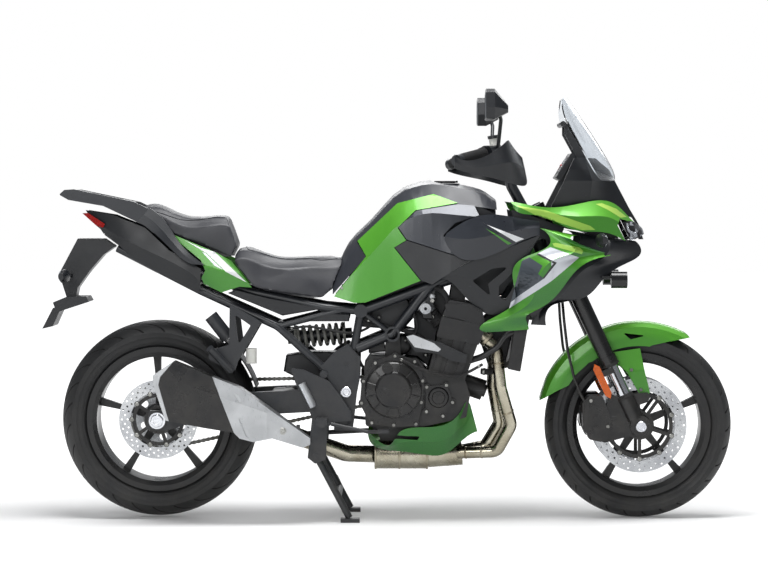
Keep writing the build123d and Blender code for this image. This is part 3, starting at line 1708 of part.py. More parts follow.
def steering(group):
    """Everything that turns with the handlebar, but for the wheel itself."""
    bridges = triple_clamps()
    bar = handlebar() - bridges
    switches = controls() - bar
    place(group, "fork_legs", fork_legs() + twin(reflector_tab()) + front_axle())
    place(group, "reflector", twin(fork_reflector()))
    place(group, "fork_bridges", bridges)
    place(group, "handlebar", bar)
    place(group, "hand_guard", twin(hand_guard()) - bar)
    place(group, "mirror", twin(mirror_head()) - switches)
    place(group, "controls", switches)
    place(group, "front_fender", front_fender())
    place(group, "front_caliper", twin(front_caliper() + brake_hose()) - bridges)


def wheels(front, rear):
    """Both wheels with their tyres, discs and sprocket."""
    place(front, "front_tyre", tyre(FRONT_AXLE, FRONT_TYRE_R, FRONT_TYRE_W, FRONT_RIM_W))
    place(front, "front_rim", rim(FRONT_AXLE, FRONT_RIM_W, 42, 58, FRONT_AXLE_R + AXLE_FIT, 67.4))
    front_disc = brake_disc(FRONT_AXLE, FRONT_DISC_Y, 150, 112, (121, 131, 141))
    front_disc += disc_carrier(FRONT_AXLE, FRONT_DISC_Y, 106, 46, 36, 5, 18)
    place(front, "front_disc", twin(front_disc))
    place(rear, "rear_tyre", tyre(REAR_AXLE, REAR_TYRE_R, REAR_TYRE_W, REAR_RIM_W))
    place(rear, "rear_rim", rim(REAR_AXLE, REAR_RIM_W, 50, 76, REAR_AXLE_R + AXLE_FIT, -3.0))
    rear_disc = brake_disc(REAR_AXLE, REAR_DISC_Y, 125, 88, (98, 107, 116))
    rear_disc += disc_carrier(REAR_AXLE, REAR_DISC_Y, 83, 44, 34, 5, 0)
    place(rear, "rear_disc", rear_disc)
    place(rear, "rear_sprocket", rear_sprocket())


def main():
    os.makedirs("parts", exist_ok=True)
    bodies = {"chassis": [], "steering": [], "front_wheel": [], "rear_wheel": [], "centre_stand": [],
              "side_stand": [], "filler_cap": []}
    chassis(bodies["chassis"])
    steering(bodies["steering"])
    wheels(bodies["front_wheel"], bodies["rear_wheel"])
    place(bodies["centre_stand"], "centre_stand", centre_stand())
    place(bodies["side_stand"], "side_stand", side_stand())
    place(bodies["filler_cap"], "filler_cap", filler_cap())
    for body, names in bodies.items():
        print(body, len(names), ", ".join(names))


if __name__ == "__main__":
    main()
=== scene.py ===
# %% [markdown]
# # A sport touring motorcycle, dressed for the camera
#
# The solid model already holds every part at its real size. This lesson gives each surface its
# finish, adds the fine pieces that are too small for the solid model, and sets up the light.
# Everything is in metres: +X is forward, +Y is the left side, +Z is up, the floor is at zero.

# %% Load the solid model
import math

import bmesh
import bpy
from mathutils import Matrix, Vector
from mathutils.bvhtree import BVHTree


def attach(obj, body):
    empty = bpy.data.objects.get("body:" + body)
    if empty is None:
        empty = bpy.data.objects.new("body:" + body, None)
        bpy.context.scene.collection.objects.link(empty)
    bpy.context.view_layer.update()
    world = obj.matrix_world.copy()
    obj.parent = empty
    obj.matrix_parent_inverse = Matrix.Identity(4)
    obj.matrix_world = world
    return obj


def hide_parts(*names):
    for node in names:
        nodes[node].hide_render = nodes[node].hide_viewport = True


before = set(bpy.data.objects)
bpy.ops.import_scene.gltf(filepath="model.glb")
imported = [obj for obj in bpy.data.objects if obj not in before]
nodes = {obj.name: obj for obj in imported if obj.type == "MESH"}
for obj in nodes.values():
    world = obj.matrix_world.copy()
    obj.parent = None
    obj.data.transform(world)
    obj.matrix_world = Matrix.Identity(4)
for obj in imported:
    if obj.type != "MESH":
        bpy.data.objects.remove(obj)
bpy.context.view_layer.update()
MM = 0.001
RAKE = math.radians(25)
FORK_FOOT_X = 799.0
FORK_FOOT_Z = 299.0
FORK_Y = 105.0

# %% [markdown]
# ## The camera
#
# The picture is taken from the right-hand side, square to the machine and from nine metres, at
# about the height of the rider's hands. A long lens keeps the wheels round. The lens is worked
# out from how much of the machine one picture row shows, and the shift puts the horizon where
# it belongs without tilting the camera.

# %% Camera
PICTURE_WIDTH = 768
PICTURE_HEIGHT = 577
METRES_PER_PIXEL = 0.00321
CAMERA_DISTANCE = 9.0
CAMERA_X = -0.0095
CAMERA_Z = 1.016
EYE_ROW = 200

camera_data = bpy.data.cameras.new("camera")
camera_data.sensor_width = 36.0
camera_data.lens = 36.0 * CAMERA_DISTANCE / (PICTURE_WIDTH * METRES_PER_PIXEL)
camera_data.shift_y = (EYE_ROW - PICTURE_HEIGHT / 2) / PICTURE_WIDTH
camera_data.clip_end = 100.0
camera = bpy.data.objects.new("camera", camera_data)
camera.location = (CAMERA_X, -CAMERA_DISTANCE, CAMERA_Z)
camera.rotation_euler = (math.radians(90), 0, 0)
bpy.context.scene.collection.objects.link(camera)
bpy.context.scene.camera = camera
bpy.context.scene.view_settings.view_transform = "Standard"
print("lens", round(camera_data.lens, 1), "mm, shift", round(camera_data.shift_y, 4))

# %% [markdown]
# ## Small helpers for shader nodes
#
# A material is a tree of nodes. These helpers keep each one short: `put` makes one node, sets
# its plain values and links whatever is given as a socket, and `group` makes an empty node
# group with named sockets, for an effect that several finishes share.


# %% Node helpers
def put(tree, kind, sockets=None, **settings):
    """One shader node. A socket given a socket is linked to it, anything else is set on it."""
    node = tree.nodes.new(kind)
    for name, value in settings.items():
        setattr(node, name, value)
    for name, value in (sockets or {}).items():
        if isinstance(value, bpy.types.NodeSocket):
            tree.links.new(value, node.inputs[name])
        else:
            node.inputs[name].default_value = value
    return node


def group(name, inputs, outputs):
    """An empty shader group; inputs are (label, kind, value) and outputs (label, kind)."""
    tree = bpy.data.node_groups.new(name, "ShaderNodeTree")
    for label, kind, value in inputs:
        socket = tree.interface.new_socket(label, in_out="INPUT", socket_type="NodeSocket" + kind)
        socket.default_value = value
    for label, kind in outputs:
        tree.interface.new_socket(label, in_out="OUTPUT", socket_type="NodeSocket" + kind)
    start = tree.nodes.new("NodeGroupInput")
    end = tree.nodes.new("NodeGroupOutput")
    return tree, start.outputs, end.inputs


def use(tree, which, sockets):
    """One copy of a shared group inside a material."""
    node = tree.nodes.new("ShaderNodeGroup")
    node.node_tree = which
    for name, value in sockets.items():
        if isinstance(value, bpy.types.NodeSocket):
            tree.links.new(value, node.inputs[name])
        else:
            node.inputs[name].default_value = value
    return node.outputs


def math_node(tree, operation, first, second=0.0, clamp=False):
    """One sum, product or comparison of two numbers."""
    node = put(tree, "ShaderNodeMath", {0: first, 1: second}, operation=operation, use_clamp=clamp)
    return node.outputs[0]


def blend(tree, share, first, second):
    """A mix of two colours by a mask."""
    node = tree.nodes.new("ShaderNodeMix")
    node.data_type = "RGBA"
    for index, value in ((0, share), (6, first), (7, second)):
        if isinstance(value, bpy.types.NodeSocket):
            tree.links.new(value, node.inputs[index])
        else:
            node.inputs[index].default_value = value
    return node.outputs[2]


def tone(red, green, blue):
    """A colour as it is seen, from 0 to 255, turned into the linear one that the shader needs."""

    def linear(value):
        value = value / 255
        return value / 12.92 if value <= 0.04045 else ((value + 0.055) / 1.055) ** 2.4

    return (linear(red), linear(green), linear(blue), 1.0)


print("node helpers ready")

# %% [markdown]
# ## Effects that many finishes share
#
# Moulded plastic, cast metal and vinyl all have a fine grain. Boots, gloves and cleaning leave
# short pale scuffs in patches. Low parts carry a film of road dust. Each of these is one group,
# built once and given its own values in each finish.

# %% Grain
grain_group, grain_in, grain_out = group(
    "fine_grain",
    [("Scale", "Float", 900.0), ("Detail", "Float", 3.0)],
    [("Height", "Float"), ("Mask", "Float")],
)
place = put(grain_group, "ShaderNodeTexCoord").outputs["Object"]
speck = put(
    grain_group,
    "ShaderNodeTexNoise",
    {"Vector": place, "Scale": grain_in["Scale"], "Detail": grain_in["Detail"]},
)
slow = put(grain_group, "ShaderNodeTexNoise", {"Vector": place, "Scale": 9.0, "Detail": 2.0})
grain_group.links.new(speck.outputs[0], grain_out["Height"])
grain_group.links.new(slow.outputs[0], grain_out["Mask"])
print("grain group:", len(grain_group.nodes), "nodes")

# %% Scuffs
wear_group, wear_in, wear_out = group(
    "scuffs",
    [("Color", "Color", (0, 0, 0, 1)), ("Worn", "Color", (0.2, 0.2, 0.2, 1)), ("Amount", "Float", 0.5)],
    [("Color", "Color"), ("Mask", "Float")],
)
place = put(wear_group, "ShaderNodeTexCoord").outputs["Object"]
bent_place = put(
    wear_group,
    "ShaderNodeMapping",
    {"Vector": place, "Rotation": (0.5, 0.7, 0.3), "Scale": (26, 420, 180)},
)
lines = put(
    wear_group, "ShaderNodeTexNoise", {"Vector": bent_place.outputs[0], "Scale": 1.0, "Detail": 3.0}
)
thin = put(wear_group, "ShaderNodeMapRange", {0: lines.outputs[0], 1: 0.66, 2: 0.74})
patch = put(wear_group, "ShaderNodeTexNoise", {"Vector": place, "Scale": 17.0, "Detail": 3.0})
broken = put(wear_group, "ShaderNodeMapRange", {0: patch.outputs[0], 1: 0.48, 2: 0.7})
both = math_node(wear_group, "MULTIPLY", thin.outputs[0], broken.outputs[0])
amount = math_node(wear_group, "MULTIPLY", both, wear_in["Amount"], clamp=True)
wear_group.links.new(blend(wear_group, amount, wear_in["Color"], wear_in["Worn"]), wear_out["Color"])
wear_group.links.new(amount, wear_out["Mask"])
print("scuff group:", len(wear_group.nodes), "nodes")

# %% Road dust
dust_group, dust_in, dust_out = group(
    "road_dust",
    [("Color", "Color", (0, 0, 0, 1)), ("Dust", "Color", (0.2, 0.18, 0.15, 1)), ("Amount", "Float", 0.3)],
    [("Color", "Color"), ("Mask", "Float")],
)
place = put(dust_group, "ShaderNodeTexCoord").outputs["Object"]
height = put(dust_group, "ShaderNodeSeparateXYZ", {0: place}).outputs["Z"]
low = put(dust_group, "ShaderNodeMapRange", {0: height, 1: 0.75, 2: 0.05})
cloud = put(
    dust_group, "ShaderNodeTexNoise", {"Vector": place, "Scale": 14.0, "Detail": 8.0, "Roughness": 0.7}
)
patchy = put(dust_group, "ShaderNodeMapRange", {0: cloud.outputs[0], 1: 0.35, 2: 0.75})
film = math_node(dust_group, "MULTIPLY", low.outputs[0], patchy.outputs[0])
film = math_node(dust_group, "MULTIPLY", film, dust_in["Amount"], clamp=True)
dust_group.links.new(blend(dust_group, film, dust_in["Color"], dust_in["Dust"]), dust_out["Color"])
dust_group.links.new(film, dust_out["Mask"])
print("dust group:", len(dust_group.nodes), "nodes")

# %% [markdown]
# ## The finishes
#
# Every finish starts from one Principled shader. A value that is the same all over is set on
# the shader's own socket; what changes over the surface comes from the groups above.


# %% A finish to start from
def finish(name, **plain):
    """A new material: its tree and its shader, with the plain values set."""
    material = bpy.data.materials.new(name)
    material.use_nodes = True
    tree = material.node_tree
    shader = tree.nodes["Principled BSDF"]
    for label, value in plain.items():
        shader.inputs[label.replace("_", " ")].default_value = value
    return material, tree, shader


def grainy(name, colour, worn, roughness=0.45, bump=0.12, scale=900.0, wear=0.5, dust=0.25, **plain):
    """A grained finish, scuffed in patches and dusty near the road."""
    material, tree, shader = finish(name, **plain)
    grain = use(tree, grain_group, {"Scale": scale})
    drift = blend(tree, grain["Mask"], colour, tuple(0.72 * part for part in colour[:3]) + (1.0,))
    edges = use(tree, wear_group, {"Color": drift, "Worn": worn, "Amount": wear})
    dusty = use(tree, dust_group, {"Color": edges["Color"], "Amount": dust})
    tree.links.new(dusty["Color"], shader.inputs["Base Color"])
    rough = put(
        tree,
        "ShaderNodeMapRange",
        {0: grain["Mask"], 1: 0.3, 2: 0.7, 3: roughness - 0.06, 4: roughness + 0.08},
    )
    dull = math_node(tree, "ADD", rough.outputs[0], math_node(tree, "MULTIPLY", dusty["Mask"], 0.5))
    tree.links.new(dull, shader.inputs["Roughness"])
    relief = put(tree, "ShaderNodeBump", {"Height": grain["Height"], "Strength": bump, "Distance": 0.0006})
    tree.links.new(relief.outputs[0], shader.inputs["Normal"])
    return material


print("finish helpers ready")

# %% [markdown]
# ### Painted metal and plastic
#
# The green is a metallic paint under clear lacquer: fine bright flakes in the colour, and painted
# shade that turns it darker where the panel faces down. The lacquer is the shader's coat.


# %% Lacquered paints
# A lit and a shaded copy of the green: painted shade, picked by which way each face looks.
GREEN_PAINTED_LIT = tone(84, 162, 36)
GREEN_PAINTED_SHADE = tone(14, 88, 32)
SLATE = tone(44, 48, 56)
INK = tone(16, 17, 19)


def lacquer(name, light, deep, metallic=0.26, flake=0.16, roughness=0.42):
    """Paint with metal flakes under clear lacquer, and painted shade: deep where a face looks down, light
    where it looks up.
    """
    material, tree, shader = finish(
        name, Metallic=metallic, Coat_Weight=0.6, Coat_Roughness=0.08, Coat_IOR=1.36
    )
    place = put(tree, "ShaderNodeTexCoord").outputs["Object"]
    flakes = put(tree, "ShaderNodeTexVoronoi", {"Vector": place, "Scale": 2600.0})
    sparkle = put(tree, "ShaderNodeMapRange", {0: flakes.outputs["Distance"], 1: 0.1, 2: 0.7})
    # Painted shade: the colour runs from the deep copy on faces that look down to the light one on faces
    # that look up.
    up = put(
        tree, "ShaderNodeSeparateXYZ", {0: put(tree, "ShaderNodeNewGeometry").outputs["Normal"]}
    ).outputs["Z"]
    painted_shade_share = put(tree, "ShaderNodeMapRange", {0: up, 1: -0.5, 2: 0.7})
    colour = blend(tree, painted_shade_share.outputs[0], deep, light)
    brighter = tuple(min(1.0, 1.5 * part + 0.01) for part in light[:3]) + (1.0,)
    colour = blend(tree, math_node(tree, "MULTIPLY", sparkle.outputs[0], flake), colour, brighter)
    tree.links.new(colour, shader.inputs["Base Color"])
    skin = put(tree, "ShaderNodeTexNoise", {"Vector": place, "Scale": 120.0, "Detail": 1.0})
    rough = put(tree, "ShaderNodeMapRange", {0: skin.outputs[0], 3: roughness - 0.05, 4: roughness + 0.05})
    tree.links.new(rough.outputs[0], shader.inputs["Roughness"])
    relief = put(
        tree,
        "ShaderNodeBump",
        {"Height": flakes.outputs["Distance"], "Strength": 0.05, "Distance": 0.0002},
    )
    tree.links.new(relief.outputs[0], shader.inputs["Normal"])
    return material


# Every lacquer below carries this painted shade; its second colour is the shaded copy.
green_paint = lacquer("green_paint", GREEN_PAINTED_LIT, GREEN_PAINTED_SHADE)
slate_gloss = lacquer("slate_gloss", SLATE, tone(20, 22, 27), metallic=0.35, flake=0.1, roughness=0.3)
print("lacquered paints:", green_paint.name, slate_gloss.name)

# %% Plain blacks and plastics
frame_black = grainy(
    "frame_black",
    tone(36, 39, 44),
    tone(84, 87, 92),
    roughness=0.34,
    scale=500.0,
    bump=0.12,
)
cast_black = grainy(
    "cast_black", tone(15, 16, 19), tone(92, 94, 98),
    roughness=0.36, scale=700.0, bump=0.35, wear=0.5,
)
cover_black = grainy(
    "cover_black", tone(13, 14, 17), tone(96, 98, 102),
    roughness=0.27, scale=900.0, bump=0.12, wear=0.5,
)
moulded_black = grainy(
    "moulded_black", tone(18, 21, 26), tone(70, 72, 76),
    roughness=0.4, scale=1400.0, bump=0.2, dust=0.12,
)
grey_satin = grainy(
    "grey_satin", tone(48, 50, 56), tone(88, 90, 94),
    roughness=0.36, scale=1600.0, bump=0.08, wear=0.2, dust=0.0,
)
rim_black = grainy(
    "rim_black", tone(13, 14, 17), tone(66, 68, 72),
    roughness=0.28, scale=900.0, bump=0.05, wear=0.3, dust=0.1,
)
tyre_rubber = grainy(
    "tyre_rubber", tone(24, 25, 27), tone(54, 55, 57),
    roughness=0.55, scale=1100.0, bump=0.3, wear=0.15, dust=0.12,
)
print("plain finishes ready")


# %% [markdown]
# ### Bare metals
#
# Brushed and turned metal is lit differently along and across its marks. Stretched noise in
# the roughness and in the bump gives the lines; heat brings straw and brown into the headers.


# %% Metals
def metal(name, colour, dark, roughness=0.28, stretch=(40.0, 40.0, 900.0), bump=0.15, **plain):
    """Bare metal with fine marks drawn along one direction."""
    material, tree, shader = finish(name, Metallic=1.0, **plain)
    place = put(tree, "ShaderNodeTexCoord").outputs["Object"]
    squeezed = put(tree, "ShaderNodeMapping", {"Vector": place, "Scale": stretch}).outputs[0]
    marks = put(tree, "ShaderNodeTexNoise", {"Vector": squeezed, "Scale": 1.0, "Detail": 4.0})
    cloud = put(tree, "ShaderNodeTexNoise", {"Vector": place, "Scale": 12.0, "Detail": 3.0})
    shade = put(tree, "ShaderNodeMapRange", {0: cloud.outputs[0], 1: 0.35, 2: 0.65})
    tree.links.new(blend(tree, shade.outputs[0], dark, colour), shader.inputs["Base Color"])
    rough = put(
        tree,
        "ShaderNodeMapRange",
        {0: marks.outputs[0], 1: 0.3, 2: 0.7, 3: roughness - 0.08, 4: roughness + 0.12},
    )
    tree.links.new(rough.outputs[0], shader.inputs["Roughness"])
    relief = put(tree, "ShaderNodeBump", {"Height": marks.outputs[0], "Strength": bump, "Distance": 0.0004})
    tree.links.new(relief.outputs[0], shader.inputs["Normal"])
    return material


header_steel = metal(
    "header_steel", tone(188, 183, 166), tone(158, 151, 132), roughness=0.22, stretch=(60, 60, 60)
)
shield_metal = metal(
    "shield_metal", tone(196, 198, 200), tone(176, 178, 180), roughness=0.34, stretch=(700, 40, 40)
)
disc_steel = metal(
    "disc_steel", tone(206, 208, 210), tone(178, 180, 184), roughness=0.3, stretch=(300, 300, 300)
)
chain_steel = metal(
    "chain_steel", tone(150, 150, 146), tone(92, 90, 84), roughness=0.38, stretch=(200, 200, 200)
)
fork_chrome = metal(
    "fork_chrome",
    tone(214, 216, 220),
    tone(196, 198, 204),
    roughness=0.14,
    stretch=(60, 60, 900),
    bump=0.03,
)
bolt_steel = metal(
    "bolt_steel", tone(176, 176, 172), tone(120, 120, 116), roughness=0.3, stretch=(400, 400, 400)
)
print("metals ready")

# %% Lenses and screen
clear_screen, tree, shader = finish("clear_screen", Transmission_Weight=1.0, IOR=1.35)
smear = put(
    tree,
    "ShaderNodeTexNoise",
    {"Vector": put(tree, "ShaderNodeTexCoord").outputs["Object"], "Scale": 22.0},
)
tree.links.new(
    put(tree, "ShaderNodeMapRange", {0: smear.outputs[0], 3: 0.0, 4: 0.06}).outputs[0],
    shader.inputs["Roughness"],
)
tree.links.new(
    blend(tree, smear.outputs[0], tone(222, 226, 230), tone(236, 240, 244)), shader.inputs["Base Color"]
)


def lens(name, light, deep, roughness=0.08):
    """A coloured lamp cover: deep plastic with moulded ribs under a gloss skin."""
    material, tree, shader = finish(name, Coat_Weight=0.35, Coat_Roughness=0.03, Specular_IOR_Level=0.25)
    place = put(tree, "ShaderNodeTexCoord").outputs["Object"]
    ribs = put(tree, "ShaderNodeTexWave", {"Vector": place, "Scale": 120.0, "Distortion": 0.0})
    tree.links.new(blend(tree, ribs.outputs["Fac"], deep, light), shader.inputs["Base Color"])
    tree.links.new(
        put(
            tree, "ShaderNodeMapRange", {0: ribs.outputs["Fac"], 3: roughness, 4: roughness + 0.1}
        ).outputs[0],
        shader.inputs["Roughness"],
    )
    relief = put(
        tree, "ShaderNodeBump", {"Height": ribs.outputs["Fac"], "Strength": 0.4, "Distance": 0.001}
    )
    tree.links.new(relief.outputs[0], shader.inputs["Normal"])
    return material


red_lens = lens("red_lens", tone(206, 34, 26), tone(120, 12, 12))
amber_lens = lens("amber_lens", tone(222, 104, 2), tone(196, 78, 1))
pale_lens = lens("pale_lens", tone(196, 202, 208), tone(96, 100, 108))


def facets(name, bright, dark, scale):
    """A lamp reflector seen through its clear cover, as painted reflection: bright facets are painted
    glints and dark ones painted shade, a lit and a shaded copy of one chrome.
    """
    material, tree, shader = finish(
        name, Metallic=0.85, Roughness=0.12, Coat_Weight=1.0, Coat_Roughness=0.02
    )
    place = put(tree, "ShaderNodeTexCoord").outputs["Object"]
    cells = put(tree, "ShaderNodeTexVoronoi", {"Vector": place, "Scale": scale}, distance="CHEBYCHEV")
    level = put(tree, "ShaderNodeSeparateColor", {0: cells.outputs["Color"]}).outputs[0]
    # Painted glints: random cells ahead of the rim are painted bright, and the rest stay dark as painted
    # shade.
    lit = put(tree, "ShaderNodeMapRange", {0: level, 1: 0.42, 2: 0.52})
    forward = put(tree, "ShaderNodeSeparateXYZ", {0: place}).outputs["X"]
    rim = put(tree, "ShaderNodeMapRange", {0: forward, 1: 0.760, 2: 0.763})
    shown = math_node(tree, "MULTIPLY", lit.outputs[0], rim.outputs[0])
    tree.links.new(blend(tree, shown, dark, bright), shader.inputs["Base Color"])
    relief = put(tree, "ShaderNodeBump", {"Height": level, "Strength": 0.6, "Distance": 0.004})
    tree.links.new(relief.outputs[0], shader.inputs["Normal"])
    return material


# The headlamp's reflector: painted glints and painted shade in its cells.
lamp_painted_glints = facets("lamp_painted_glints", tone(236, 240, 246), tone(20, 22, 26), 62.0)
print("lenses ready")

# %% Small finishes
# Darker rubber for the tyre grooves: painted shade in the recesses.
painted_groove_shade = grainy(
    "painted_groove_shade", tone(14, 14, 15), tone(30, 30, 30), roughness=0.8, wear=0.0, dust=0.1
)
grip_rubber = grainy(
    "grip_rubber", tone(26, 26, 28), tone(50, 50, 52), roughness=0.7, scale=1500.0, bump=0.3, wear=0.2
)
mirror_face = metal(
    "mirror_face", tone(206, 214, 222), tone(200, 208, 218), roughness=0.1, stretch=(9, 9, 9), bump=0.0
)
meter_glass = lacquer(
    "meter_glass", tone(18, 20, 24), tone(12, 13, 16), metallic=0.0, flake=0.05, roughness=0.2
)
pale_ink = lacquer("pale_ink", tone(228, 230, 232), tone(210, 212, 214), metallic=0.0, flake=0.0)
core_alloy = metal(
    "core_alloy", tone(70, 72, 76), tone(44, 46, 50), roughness=0.45, stretch=(300, 300, 300)
)
weld_steel = metal(
    "weld_steel", tone(196, 190, 172), tone(140, 128, 104), roughness=0.36, stretch=(220, 220, 220)
)
cup_white = grainy(
    "cup_white",
    tone(222, 222, 216),
    tone(240, 240, 236),
    roughness=0.4,
    scale=300.0,
    bump=0.05,
    wear=0.1,
)
silver_cast = metal(
    "silver_cast", tone(188, 190, 192), tone(160, 162, 166), roughness=0.42, stretch=(260, 260, 260)
)
# The shock's coil: grey like its metal, but flat and paler, as painted sheen in place of the metal's
# reflections.
coil_grey_painted_sheen = grainy(
    "coil_grey_painted_sheen", tone(150, 150, 144), tone(190, 190, 186), roughness=0.3, scale=300.0, bump=0.05
)
print("small finishes ready")

# %% Seat vinyl
seat_vinyl = grainy(
    "seat_vinyl",
    tone(50, 51, 56),
    tone(74, 75, 80),
    roughness=0.46,
    scale=620.0,
    bump=0.5,
    wear=0.1,
    dust=0.0,
)
print("seat vinyl ready")

# %% [markdown]
# ## Dressing the solid pieces
#
# Each solid piece keeps its shape and gets its finish. A table of pieces and finishes shows at
# a glance what the machine is made of.

# %% Finishes by piece
FINISHES = {
    "frame": frame_black,
    "engine_case": cast_black,
    "engine_covers": cover_black,
    "exhaust_pipes": header_steel,
    "silencer": cover_black,
    "silencer_shield": shield_metal,
    "radiator": cast_black,
    "belly_cowl": green_paint,
    "tank_cover": grey_satin,
    "tank_panel": green_paint,
    "fuel_tank": grey_satin,
    "gloss_panel": slate_gloss,
    "inner_panel": moulded_black,
    "upper_cowl": green_paint,
    "side_cowl": green_paint,
    "lower_cowl": moulded_black,
    "inner_cowl": moulded_black,
    "windscreen": clear_screen,
    "cockpit": moulded_black,
    "lamp": lamp_painted_glints,
    "indicator": moulded_black,
    "rider_seat": seat_vinyl,
    "pillion_seat": seat_vinyl,
    "tail_panel": green_paint,
    "tail_cowl": moulded_black,
    "carrier": frame_black,
    "tail_lamp": red_lens,
    "rear_fender": moulded_black,
    "swingarm": frame_black,
    "rear_shock": frame_black,
    "chain": chain_steel,
    "footrest": frame_black,
    "rear_brake": cover_black,
    "slider_bar": moulded_black,
    "fork_legs": cover_black,
    "reflector": amber_lens,
    "fork_bridges": cover_black,
    "handlebar": frame_black,
    "hand_guard": moulded_black,
    "mirror": moulded_black,
    "controls": moulded_black,
    "front_fender": green_paint,
    "front_caliper": cover_black,
    "front_rim": rim_black,
    "front_tyre": tyre_rubber,
    "front_disc": disc_steel,
    "rear_rim": rim_black,
    "rear_tyre": tyre_rubber,
    "rear_disc": disc_steel,
    "rear_sprocket": disc_steel,
    "centre_stand": frame_black,
    "side_stand": frame_black,
    "filler_cap": cover_black,
}


def dress(node, material):
    """Gives a solid piece its finish."""
    piece = nodes[node]
    piece.data.materials.clear()
    piece.data.materials.append(material)


for node, material in FINISHES.items():
    dress(node, material)
undressed = sorted(set(nodes) - set(FINISHES))
print("dressed", len(FINISHES), "pieces; left:", undressed)

# %% [markdown]
# ### Smooth panels
#
# The solid model's curved panels come as many small flats. On the real panels the reflections
# run smoothly, so the flats are joined and shaded as one skin, with a crease kept only where
# two faces meet at more than the given angle. Only points that lie together already are joined.

# %% Smooth shading for the panels
SMOOTH_PANELS = {
    "fuel_tank": 26, "tank_cover": 26, "tank_panel": 26, "upper_cowl": 24, "side_cowl": 24,
    "front_fender": 32, "tail_panel": 26, "rider_seat": 32, "pillion_seat": 32, "windscreen": 30,
}
for node, degrees in SMOOTH_PANELS.items():
    mesh = nodes[node].data
    if "custom_normal" in mesh.attributes:
        mesh.attributes.remove(mesh.attributes["custom_normal"])
    mesh.shade_smooth()
    nodes[node].modifiers.new("join", "WELD").merge_threshold = 0.00002
    crease = nodes[node].modifiers.new("crease", "EDGE_SPLIT")
    crease.split_angle = math.radians(degrees)
print("smooth panels:", len(SMOOTH_PANELS))

# %% [markdown]
# ### Two finishes on one solid
#
# Some solids are one part in the model but two finishes on the real machine, such as a chromed
# tube in a black casting. Each face takes the second finish where a simple test on its middle
# says so, and the shape stays as it is.


# %% Second finishes
def second_finish(node, material, test):
    """Gives a finish to the faces of a solid piece whose middle, in millimetres, passes a test."""
    mesh = nodes[node].data
    mesh.materials.append(material)
    index = len(mesh.materials) - 1
    changed = 0
    for face in mesh.polygons:
        if test(face.center / MM, face.normal):
            face.material_index = index
            changed += 1
    print(node, "has", changed, "faces of", material.name)


def from_fork(point):
    """How far a point is from the middle line of its fork leg."""
    centre = Vector((FORK_FOOT_X, math.copysign(FORK_Y, point.y), FORK_FOOT_Z))
    along = Vector((-math.sin(RAKE), 0, math.cos(RAKE)))
    away = point - centre
    return (away - along * away.dot(along)).length


def from_axle(point, axle):
    """How far a point is from an axle's line."""
    return math.hypot(point.x - axle[0], point.z - axle[1])


FRONT_AXLE = (804.0, 299.0)
REAR_AXLE = (-726.0, 319.0)
FRONT_DISC_Y = 74.0
REAR_DISC_Y = -95.0
HALF_DISC = 2.3
FRONT_CARRIER = 112.3
REAR_CARRIER = 88.3
FORK_TUBE = 21.5


def on_fork_tube(point, normal):
    """The bare stretch of the inner fork tube, between the casting and the outer tube."""
    return 390 < point.z < 497 and from_fork(point) < FORK_TUBE and abs(normal.y) < 0.99


def on_front_carrier(point, normal):
    """The black carrier inside a front disc, which is also thicker than the disc."""
    thick = abs(abs(point.y) - FRONT_DISC_Y) > HALF_DISC
    return thick or from_axle(point, FRONT_AXLE) < FRONT_CARRIER


def on_rear_carrier(point, normal):
    """The black carrier inside the rear disc."""
    thick = abs(point.y - REAR_DISC_Y) > HALF_DISC
    return thick or from_axle(point, REAR_AXLE) < REAR_CARRIER


def on_coil(point, normal):
    """The shock's coil and spring seats, outside its body and away from the preload cylinder."""
    return abs(point.y) < 60 and (abs(point.y) > 23 or abs(point.z - 582) > 24)


def on_brake_cup(point, normal):
    """The rear brake's fluid cup."""
    return point.y < -100 and 500 < point.z < 542


def on_master_cylinder(point, normal):
    """The rear brake's cylinder, behind its pedal."""
    return point.x < -160 and 345 < point.z < 490


def on_extra_lamp(point, normal):
    """The extra lamps under the main one, all but the faces that look ahead."""
    return point.z < 860 and normal.x < 0.6


def on_bar_cup(point, normal):
    """The front brake's fluid cup, on the right of the bar."""
    return point.y < 0 and 1186 < point.z < 1209 and 318 < point.x < 358


def on_indicator_lens(point, normal):
    """The indicators' faces that look away from the machine."""
    return normal.x * point.x > 0 and abs(normal.x) > 0.45


second_finish("fork_legs", fork_chrome, on_fork_tube)
second_finish("front_disc", cover_black, on_front_carrier)
second_finish("rear_disc", cover_black, on_rear_carrier)
second_finish("rear_brake", cup_white, on_brake_cup)
second_finish("rear_brake", silver_cast, on_master_cylinder)
second_finish("lamp", cover_black, on_extra_lamp)
second_finish("controls", cup_white, on_bar_cup)
second_finish("indicator", pale_lens, on_indicator_lens)
second_finish("rear_shock", coil_grey_painted_sheen, on_coil)

# %% [markdown]
# ## Making pieces
#
# The fine pieces are built from rings of points: a screw head, a grip and a tyre are all rings
# joined into a skin. A heap gathers many such skins into one mesh, so that forty screws are one
# piece. Building them one by one keeps the number of triangles known and the meshes closed.


# %% Heaps of points and faces


class Heap:
    """Points in millimetres and faces, gathered for one piece."""

    def __init__(self):
        self.points = []
        self.faces = []

    def skin(self, rows, loop=False):
        """Joins rings of points into a closed skin: its ends are capped, or met when it is a loop."""
        start = len(self.points)
        count = len(rows[0])
        for row in rows:
            self.points.extend(tuple(point) for point in row)
        for i in range(len(rows) if loop else len(rows) - 1):
            low = start + i * count
            high = start + (i + 1) % len(rows) * count
            for j in range(count):
                k = (j + 1) % count
                self.faces.append((low + j, low + k, high + k, high + j))
        if not loop:
            self.faces.append(tuple(start + j for j in reversed(range(count))))
            self.faces.append(tuple(start + (len(rows) - 1) * count + j for j in range(count)))

    def twin(self):
        """Adds the same shapes on the other side of the machine."""
        start = len(self.points)
        self.points += [(x, -y, z) for x, y, z in self.points]
        self.faces += [tuple(start + index for index in reversed(face)) for face in self.faces]


